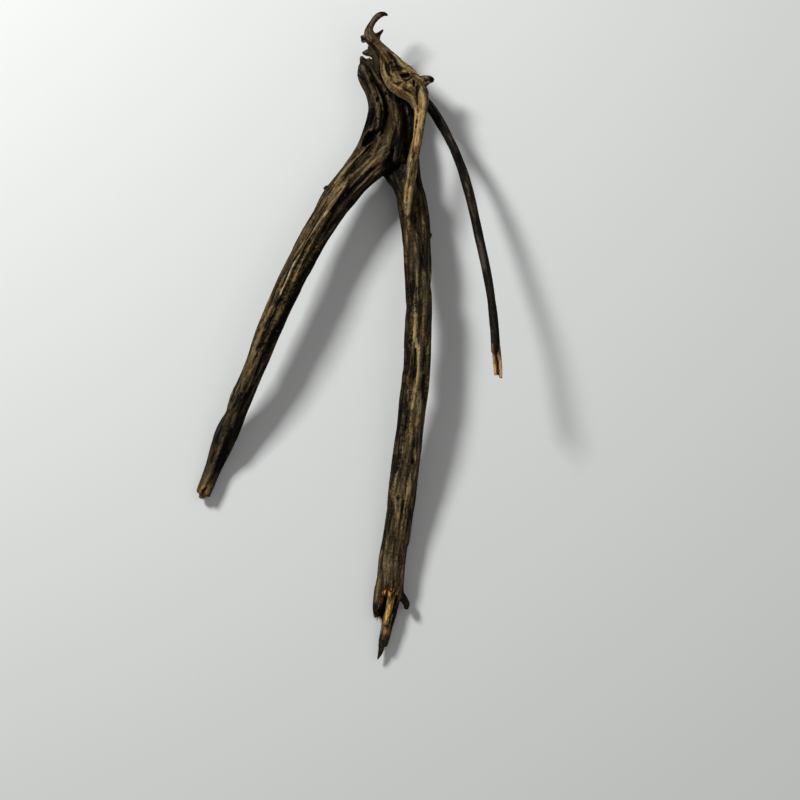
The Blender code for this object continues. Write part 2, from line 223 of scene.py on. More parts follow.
LIMBS: tuple[Limb, ...] = (
    Limb("crown_core", Tone.CROWN, (
        (11.0, 127.5, 12.5, 2.4, 2.6), (13.5, 120.0, 11.5, 4.6, 4.4), (17.5, 110.0, 10.5, 6.8, 5.6),
        (19.6, 99.0, 10.5, 8.2, 6.2), (18.8, 88.0, 11.5, 10.2, 6.4), (23.0, 77.0, 12.0, 8.0, 6.4),
        (28.0, 65.0, 13.0, 6.4, 6.2),
    )),
    Limb("heel", Tone.CROWN, (
        (21.0, 117.0, 8.5, 3.6, 4.2), (24.0, 108.5, 5.6, 5.2, 5.9), (23.5, 99.0, 6.8, 5.2, 5.6),
        (23.0, 90.0, 9.0, 4.6, 5.0),
    )),
    Limb("left_strand", Tone.CROWN, (
        (5.9, 127.4, 14.0, 2.4, 2.8), (7.0, 121.6, 15.0, 3.9, 4.0), (10.4, 114.6, 15.5, 3.5, 4.5),
        (12.2, 108.0, 16.0, 3.6, 4.8), (12.1, 102.0, 16.0, 4.1, 5.0), (10.2, 95.4, 16.0, 4.4, 5.0),
        (7.1, 88.4, 16.5, 4.0, 5.0), (2.6, 81.4, 17.0, 4.0, 4.8), (-3.8, 73.1, 17.5, 3.9, 4.6),
        (-10.6, 63.5, 18.0, 3.8, 4.5), (-17.0, 50.0, 19.0, 3.4, 4.2),
    )),
    Limb("middle_strand", Tone.CROWN, (
        (9.8, 128.2, 14.5, 1.8, 2.2), (12.6, 123.4, 15.0, 2.4, 3.2), (16.2, 117.0, 15.2, 2.7, 3.9),
        (19.4, 110.5, 15.2, 2.9, 4.2), (21.0, 103.4, 15.4, 3.2, 4.5), (20.8, 96.4, 16.0, 3.6, 4.8),
        (18.3, 89.3, 16.5, 4.2, 5.0), (13.6, 82.3, 17.0, 4.8, 5.2), (7.5, 75.2, 17.5, 4.6, 5.2),
        (0.9, 67.8, 18.0, 4.3, 5.0), (-5.8, 58.6, 18.5, 3.9, 4.8), (-12.0, 48.5, 19.0, 3.4, 4.4),
    )),
    Limb("right_strand", Tone.CROWN, (
        (23.5, 118.0, 9.0, 3.0, 3.0), (25.4, 112.8, 9.3, 4.0, 4.2), (26.8, 103.4, 10.0, 4.3, 4.6),
        (27.4, 94.0, 10.8, 4.6, 5.0), (27.4, 84.6, 11.8, 5.0, 5.4), (27.7, 75.2, 12.8, 5.6, 6.0),
        (28.7, 63.5, 13.5, 6.6, 6.6),
    )),
    Limb("lower_strand", Tone.CROWN, (
        (23.5, 88.0, 15.0, 3.0, 3.4), (18.6, 82.2, 14.5, 3.4, 4.0), (12.2, 77.0, 14.5, 3.5, 4.2),
        (5.0, 70.6, 15.0, 3.4, 4.2), (-1.8, 62.6, 15.5, 3.4, 4.2), (-9.4, 54.0, 16.5, 3.2, 4.0),
        (-16.8, 43.4, 17.5, 2.2, 3.2),
    )),
    Limb("tongue", Tone.CROWN, (
        (19.8, 111.0, 17.0, 1.6, 2.0), (21.9, 105.0, 18.2, 1.9, 2.2), (23.0, 98.0, 18.9, 2.1, 2.3),
        (23.2, 91.0, 19.2, 2.1, 2.4), (22.4, 85.2, 18.8, 1.9, 2.2), (20.9, 81.6, 18.0, 1.3, 1.6),
        (20.2, 79.8, 17.4, 0.6, 0.8),
    )),
    Limb("back_layer", Tone.CROWN, (
        (9.8, 136.5, 17.5, 1.8, 2.0), (12.2, 132.0, 16.5, 2.3, 2.6), (14.4, 127.2, 16.2, 2.3, 2.8),
        (16.6, 121.5, 15.8, 2.4, 3.0), (19.6, 115.0, 14.5, 2.8, 3.0), (22.2, 108.0, 13.5, 3.0, 3.0),
    )),
    Limb("beak", Tone.CROWN, (
        (12.6, 132.0, 16.8, 2.0, 2.3), (9.6, 132.8, 16.8, 2.0, 2.0), (7.4, 132.8, 16.6, 1.5, 1.5),
        (5.7, 132.9, 16.5, 0.4, 0.5),
    )),
    Limb("broken_corner", Tone.CROWN, (
        (5.2, 131.6, 14.5, 0.7, 0.7), (6.2, 128.9, 14.5, 1.9, 1.8), (6.8, 124.0, 15.0, 2.9, 3.0),
    )),
    Limb("notch_rim", Tone.CROWN, (
        (8.9, 130.6, 14.8, 0.8, 0.8), (9.2, 128.4, 14.8, 1.8, 1.6), (11.2, 125.0, 15.0, 1.5, 2.2),
    )),
    Limb("left_leg", Tone.LEFT_LEG, (
        (10.0, 84.0, 14.0, 5.0, 5.0), (5.4, 77.1, 15.0, 5.9, 6.0), (-0.9, 70.6, 16.0, 6.9, 6.2),
        (-8.5, 59.7, 17.5, 6.5, 6.2), (-17.9, 44.9, 19.0, 6.4, 6.0), (-25.6, 29.7, 20.0, 6.3, 5.9),
        (-32.6, 14.6, 20.0, 5.9, 5.6), (-39.3, -0.5, 19.0, 5.4, 5.3), (-45.2, -15.5, 17.0, 5.3, 5.1),
        (-51.6, -30.6, 13.2, 5.2, 5.0), (-57.9, -45.6, 8.8, 5.5, 5.0), (-61.0, -53.1, 6.4, 4.9, 4.8),
        (-63.9, -60.8, 4.6, 4.4, 4.5), (-66.9, -68.6, 4.0, 4.3, 4.2), (-69.6, -75.2, 4.0, 3.8, 3.4),
    )),
    Limb("left_leg_end", Tone.LEFT_LEG, (
        (-67.2, -70.0, 4.4, 2.2, 2.4), (-69.6, -75.0, 4.2, 1.9, 2.0), (-70.8, -77.0, 4.0, 1.1, 1.3),
    )),
    Limb("centre_leg", Tone.CENTRE_LEG, (
        (24.0, 85.0, 12.0, 5.4, 6.0), (26.5, 75.0, 12.5, 6.4, 6.5), (28.7, 63.5, 13.5, 6.9, 6.8),
        (30.3, 52.2, 15.0, 6.8, 6.7), (31.2, 40.9, 16.5, 6.7, 6.6), (32.0, 25.9, 18.0, 6.5, 6.5),
        (32.2, 10.8, 19.0, 6.3, 6.3), (31.75, -4.2, 19.0, 6.7, 6.2), (31.1, -19.3, 18.2, 6.8, 6.1),
        (29.3, -34.3, 16.6, 6.6, 6.1), (27.8, -49.4, 14.4, 6.7, 6.1), (25.8, -64.4, 11.9, 6.7, 6.1),
        (24.0, -79.4, 9.4, 6.6, 6.1), (22.1, -94.5, 7.3, 6.6, 6.1), (20.4, -105.8, 6.2, 6.9, 6.2),
        (19.7, -114.0, 5.9, 6.9, 6.1), (19.6, -119.0, 5.7, 6.2, 5.4), (19.6, -122.5, 5.5, 4.6, 4.2),
    )),
    Limb("torn_shell", Tone.CENTRE_LEG, (
        (16.4, -112.0, 6.2, 3.4, 4.8), (14.6, -121.0, 5.8, 3.4, 4.4), (13.5, -127.0, 5.4, 2.9, 3.8),
        (12.9, -130.6, 5.0, 2.2, 2.8), (13.2, -133.0, 4.8, 1.0, 1.4),
    )),
    Limb("splinter", Tone.CENTRE_LEG, (
        (20.6, -111.0, 5.8, 5.6, 5.6), (20.3, -119.5, 5.4, 5.2, 5.0), (19.3, -125.5, 5.0, 4.3, 4.4),
        (18.7, -131.0, 4.8, 3.5, 3.9), (17.4, -137.0, 4.5, 2.9, 3.3), (16.1, -142.8, 4.2, 2.6, 2.8),
        (15.2, -146.8, 4.0, 2.2, 2.4),
    )),
    Limb("splinter_tip", Tone.CROWN, (
        (14.8, -143.5, 4.0, 1.4, 1.6), (14.5, -148.8, 3.9, 1.5, 1.5), (12.7, -153.6, 3.7, 0.4, 0.5),
    )),
    Limb("side_stub", Tone.CHARRED_AND_SHADE, (
        (22.8, -121.0, 6.0, 2.2, 2.2), (25.2, -124.4, 6.0, 1.9, 1.9), (26.7, -127.0, 6.0, 1.6, 1.7),
        (26.3, -129.3, 6.0, 1.1, 1.2),
    )),
    Limb("thin_leg", Tone.SIDE_ROOT, (
        (27.5, 117.0, 10.5, 2.8, 2.8), (32.0, 113.4, 11.5, 2.5, 2.6), (35.9, 109.8, 12.6, 2.5, 2.4),
        (39.8, 104.8, 14.0, 2.4, 2.3), (44.1, 97.3, 16.0, 2.4, 2.4), (47.9, 89.8, 18.0, 2.4, 2.4),
        (51.0, 82.3, 20.0, 2.4, 2.4), (53.7, 74.7, 22.0, 2.5, 2.4), (56.6, 63.5, 24.6, 2.4, 2.3),
        (59.0, 52.2, 27.0, 2.3, 2.3), (61.4, 40.9, 29.2, 2.3, 2.2), (63.8, 29.6, 31.2, 2.2, 2.2),
        (66.0, 16.5, 33.2, 2.2, 2.1), (67.4, 3.3, 34.8, 2.1, 2.1), (68.0, -8.0, 36.0, 2.2, 2.1),
    )),
    Limb("left_prong", Tone.SPLIT, (
        (67.1, -5.0, 35.8, 1.2, 1.6), (67.6, -12.5, 36.5, 1.1, 1.4), (68.0, -18.9, 37.0, 0.9, 1.1),
    )),
    Limb("right_prong", Tone.SPLIT, (
        (68.9, -5.0, 35.8, 1.2, 1.6), (69.7, -12.5, 36.5, 1.1, 1.4), (70.3, -20.2, 37.2, 0.9, 1.1),
    )),
    Limb("peeled_root", Tone.PEELED, (
        (17.8, 149.9, 21.6, 0.4, 0.4), (16.2, 150.5, 21.6, 1.15, 1.2), (14.3, 150.1, 21.6, 1.65, 1.6),
        (12.3, 148.7, 21.6, 1.75, 1.7), (10.6, 146.5, 21.6, 1.65, 1.6), (9.1, 143.6, 21.6, 2.1, 1.9),
        (9.1, 140.9, 21.6, 3.0, 2.2), (10.4, 138.2, 21.5, 3.2, 2.5), (13.3, 135.3, 21.2, 2.9, 2.6),
        (17.0, 132.0, 21.0, 3.0, 2.7), (20.0, 128.2, 20.5, 4.1, 3.1), (21.9, 124.2, 20.5, 6.0, 3.8),
        (24.8, 120.5, 21.0, 6.9, 4.4), (28.4, 117.1, 21.5, 6.3, 4.4), (31.8, 113.4, 22.5, 5.2, 3.8),
        (33.2, 109.6, 23.5, 4.0, 3.0), (33.3, 105.0, 24.3, 3.4, 2.6), (32.6, 99.0, 24.8, 2.9, 2.2),
        (31.9, 93.0, 25.0, 2.6, 2.0), (30.8, 87.5, 25.0, 2.7, 1.9), (29.6, 82.0, 24.8, 2.8, 1.8),
        (29.1, 76.5, 24.5, 2.8, 1.8), (28.0, 70.5, 24.2, 2.6, 1.7), (27.3, 64.5, 24.0, 2.5, 1.6),
        (27.0, 60.0, 23.8, 2.2, 1.5), (27.0, 56.4, 23.6, 1.5, 1.1), (27.2, 54.2, 23.5, 0.5, 0.5),
    )),
    Limb("burl_root", Tone.CROWN, (
        (17.0, 116.0, 12.0, 4.0, 4.4), (20.0, 120.0, 16.0, 4.2, 4.0), (24.0, 121.0, 20.0, 4.6, 4.0),
    )),
    Limb("burl_rim", Tone.PEELED, (
        (15.0, 134.4, 21.6, 0.6, 0.8), (15.1, 130.6, 21.8, 1.1, 1.4), (15.5, 127.2, 21.8, 1.5, 1.8),
        (17.0, 122.6, 21.4, 2.2, 2.2), (19.8, 117.8, 22.0, 2.8, 2.6), (24.2, 114.4, 23.0, 3.0, 2.8),
        (29.0, 111.6, 23.6, 3.0, 2.6), (31.8, 106.6, 24.2, 2.4, 2.2),
    )),
    Limb("right_knob", Tone.PEELED, (
        (31.8, 117.3, 21.5, 3.6, 3.0), (35.1, 119.2, 20.8, 2.6, 2.5), (37.5, 119.9, 20.2, 1.8, 1.8),
        (39.5, 119.5, 19.8, 0.9, 0.9),
    )),
    Limb("left_knob", Tone.HOOK, (
        (9.6, 139.4, 21.6, 1.9, 1.8), (6.9, 139.3, 21.4, 1.8, 1.7), (5.3, 138.9, 21.3, 1.6, 1.4),
    )),
    Limb("knob_spike", Tone.HOOK, (
        (7.2, 138.7, 21.4, 1.6, 1.2), (5.8, 137.3, 21.0, 0.9, 0.7),
    )),
    Limb("thorn", Tone.HOOK, (
        (11.4, 139.4, 21.6, 1.7, 1.3), (13.6, 140.9, 21.8, 1.2, 1.0), (15.8, 143.1, 22.0, 0.55, 0.5),
    )),
    Limb("thorn_lobe", Tone.HOOK, (
        (12.4, 139.0, 21.6, 1.4, 1.1), (14.1, 140.2, 21.4, 0.9, 0.9),
    )),
    Limb("leg_bump", Tone.LEFT_LEG, (
        (-7.0, 59.0, 15.5, 3.0, 3.4), (-4.0, 56.8, 14.8, 2.0, 2.4),
    )),
    Limb("leg_spur", Tone.LEFT_LEG, (
        (-9.0, 67.4, 17.5, 1.6, 1.6), (-11.9, 70.0, 17.5, 1.2, 1.1),
    )),
    Limb("side_bud", Tone.CENTRE_LEG, (
        (35.6, 47.6, 15.6, 1.6, 1.6), (38.5, 46.8, 15.6, 1.1, 1.0),
    )),
    Limb("neck_fill", Tone.LEFT_LEG, (
        (14.6, 93.4, 15.6, 1.5, 2.2), (13.6, 90.0, 16.9, 1.8, 2.4), (12.0, 87.0, 17.7, 1.8, 2.4),
        (9.8, 83.8, 17.9, 1.6, 2.2), (7.2, 81.0, 17.8, 1.2, 1.6),
    )),
    Limb("shell_corner", Tone.CROWN, (
        (16.0, -121.0, 5.4, 1.6, 2.6), (15.2, -127.0, 5.2, 1.7, 2.5), (15.2, -131.0, 4.9, 1.5, 2.0),
        (15.9, -134.4, 4.7, 0.8, 1.1),
    )),
    Limb("fresh_cap", Tone.FRESH, (
        (17.0, -120.4, 9.2, 1.2, 1.4), (17.7, -121.9, 9.4, 1.7, 1.6), (18.2, -123.5, 8.8, 1.0, 1.1),
    )),
)

HOLLOWS: tuple[Hollow, ...] = (
    Hollow(9.2, 92.4, 52.0, 3.7, 1.6, 4.5),
    Hollow(8.9, 101.8, 66.0, 4.4, 1.3, 2.2),
    Hollow(13.3, 110.6, 90.0, 1.3, 0.9, 1.6),
    Hollow(20.5, 78.5, 35.0, 4.2, 2.0, 2.6),
    Hollow(26.0, 121.0, 8.0, 2.1, 0.8, 1.5),
    Hollow(30.2, 117.6, 80.0, 1.3, 0.5, 1.1),
    Hollow(19.5, 124.2, 120.0, 1.8, 0.8, 0.9),
    Hollow(15.2, -131.6, 76.0, 5.0, 0.5, 2.4),
    Hollow(16.7, -125.0, 78.0, 7.0, 0.8, 3.4),
)

KNOTS: tuple[Knot, ...] = (
    Knot(9.0, 92.4, 20.0, 6.0),
    Knot(13.3, 110.6, 20.0, 3.0),
    Knot(26.9, 119.4, 25.0, 6.0),
    Knot(20.0, 124.2, 24.0, 3.5),
    Knot(-56.0, -28.2, 16.0, 5.0),
    Knot(-64.0, -52.0, 9.0, 5.0),
    Knot(22.6, -76.0, 15.0, 4.0),
    Knot(31.6, 20.0, 24.0, 3.5),
)

FRAYS: tuple[Fray, ...] = (
    Fray(12.8, -131.6, 258.0, 1.4, 1.9, "shell_end", Tone.CHARRED_AND_SHADE, 34, 3.0, 0.36),
    Fray(14.4, -124.8, 254.0, 3.2, 1.0, "shell_lip", Tone.BURL, 22, 3.0, 0.24),
    Fray(16.4, -143.6, 258.0, 2.4, 2.2, "splinter_cut", Tone.CROWN, 26, 2.6, 0.22),
    Fray(18.0, -120.2, 258.0, 1.4, 2.6, "fresh_top", Tone.FRESH, 30, 2.6, 0.17),
    Fray(18.8, -128.0, 256.0, 6.0, 1.0, "fresh_side", Tone.FRESH, 26, 3.0, 0.15),
    Fray(69.0, -8.6, 268.0, 0.8, 1.8, "side_root_end", Tone.SIDE_ROOT, 18, 1.6, 0.18),
    Fray(69.2, -17.4, 268.0, 1.6, 1.6, "prong_tips", Tone.SPLIT, 22, 2.0, 0.13),
    Fray(7.2, 128.6, 108.0, 1.4, 3.0, "crown_corner", Tone.CROWN, 26, 1.9, 0.22),
    Fray(-69.6, -74.6, 249.0, 1.8, 2.6, "left_leg_end", Tone.LEFT_LEG, 26, 1.8, 0.20),
)

PATCHES: tuple[Patch, ...] = (
    Patch(24.5, 121.0, -38.0, 11.0, 6.4, Tone.BURL, 0.95),
    Patch(10.6, 143.5, 52.0, 13.0, 11.0, Tone.HOOK, 1.0, all_round=True),
    Patch(3.0, 78.0, 42.0, 15.0, 9.0, Tone.LEFT_LEG, 0.7),
    Patch(65.2, 10.0, 80.0, 26.0, 7.0, Tone.CHARRED_AND_SHADE, 0.75, all_round=True),
    Patch(20.5, -96.0, 80.0, 26.0, 10.0, Tone.CROWN, 0.30),
    Patch(-33.0, 18.0, 62.0, 24.0, 8.0, Tone.CROWN, 0.22),
    Patch(8.0, 108.0, 84.0, 17.0, 6.0, Tone.CHARRED_AND_SHADE, 0.16),
    Patch(-61.0, -50.0, 68.0, 26.0, 9.0, Tone.CROWN, 0.75, all_round=True),
    Patch(-5.0, 62.0, 55.0, 9.0, 2.4, Tone.BURL, 0.7),
    Patch(28.0, 45.0, 88.0, 26.0, 12.0, Tone.CROWN, 0.7, all_round=True),
    Patch(-2.0, 61.0, 56.0, 18.0, 3.6, Tone.CROWN, 0.8),
    Patch(19.8, -125.6, 64.0, 4.6, 0.75, Tone.FRESH),
    Patch(17.9, -131.0, 72.0, 5.4, 1.05, Tone.FRESH),
    Patch(17.5, -121.9, 10.0, 1.8, 1.4, Tone.FRESH),
    Patch(27.4, 62.6, 84.0, 10.0, 2.0, Tone.PEELED, 0.95),
    Patch(16.4, 150.6, -20.0, 2.7, 2.0, Tone.CHARRED_AND_SHADE, 1.0, all_round=True),
    Patch(6.6, 133.2, 0.0, 3.6, 1.9, Tone.CHARRED_AND_SHADE, 0.65, all_round=True),
    Patch(11.6, 148.0, 40.0, 3.0, 2.0, Tone.CHARRED_AND_SHADE, 0.35, all_round=True),
    Patch(39.6, 119.6, -30.0, 2.6, 2.4, Tone.CHARRED_AND_SHADE, 0.95, all_round=True),
    Patch(15.2, 142.6, 50.0, 1.9, 1.4, Tone.CHARRED_AND_SHADE, 0.8, all_round=True),
    Patch(4.8, 138.9, 0.0, 1.8, 1.8, Tone.CHARRED_AND_SHADE, 0.75, all_round=True),
    Patch(-11.9, 69.9, 0.0, 1.7, 1.7, Tone.CHARRED_AND_SHADE, 0.85, all_round=True),
    Patch(38.6, 46.8, 0.0, 1.6, 1.6, Tone.CHARRED_AND_SHADE, 0.7, all_round=True),
    Patch(21.5, 98.0, 86.0, 14.0, 4.6, Tone.BURL, 0.22),
    Patch(15.3, -123.6, 72.0, 2.8, 0.6, Tone.FRESH, 0.7),
    Patch(16.2, -141.5, 76.0, 3.0, 0.9, Tone.FRESH, 0.35),
    Patch(-69.2, -74.0, 70.0, 4.4, 2.4, Tone.FRESH, 0.25),
    Patch(-69.0, -72.4, 70.0, 2.4, 1.2, Tone.FRESH, 0.35),
    # Painted shade: near-black patches under the burl, in the recess beside the strip and in the crotch.
    Patch(24.5, 108.5, 20.0, 8.0, 3.4, Tone.CHARRED_AND_SHADE, 0.3),
    Patch(26.5, 92.0, 86.0, 17.0, 2.4, Tone.CHARRED_AND_SHADE, 0.1),
    Patch(21.5, 79.0, 120.0, 7.5, 3.6, Tone.CHARRED_AND_SHADE, 0.6),
    Patch(9.2, 92.4, 52.0, 3.6, 1.5, Tone.CHARRED_AND_SHADE, 1.0),
    Patch(8.9, 101.8, 66.0, 4.2, 1.4, Tone.CHARRED_AND_SHADE, 0.8),
    Patch(15.5, -147.5, 70.0, 7.0, 4.0, Tone.CHARRED_AND_SHADE, 0.7, all_round=True),
    Patch(26.2, -127.0, 0.0, 3.0, 3.4, Tone.CHARRED_AND_SHADE, 0.95, all_round=True),
    Patch(12.6, -130.4, 80.0, 4.0, 2.6, Tone.CHARRED_AND_SHADE, 0.7, all_round=True),
)

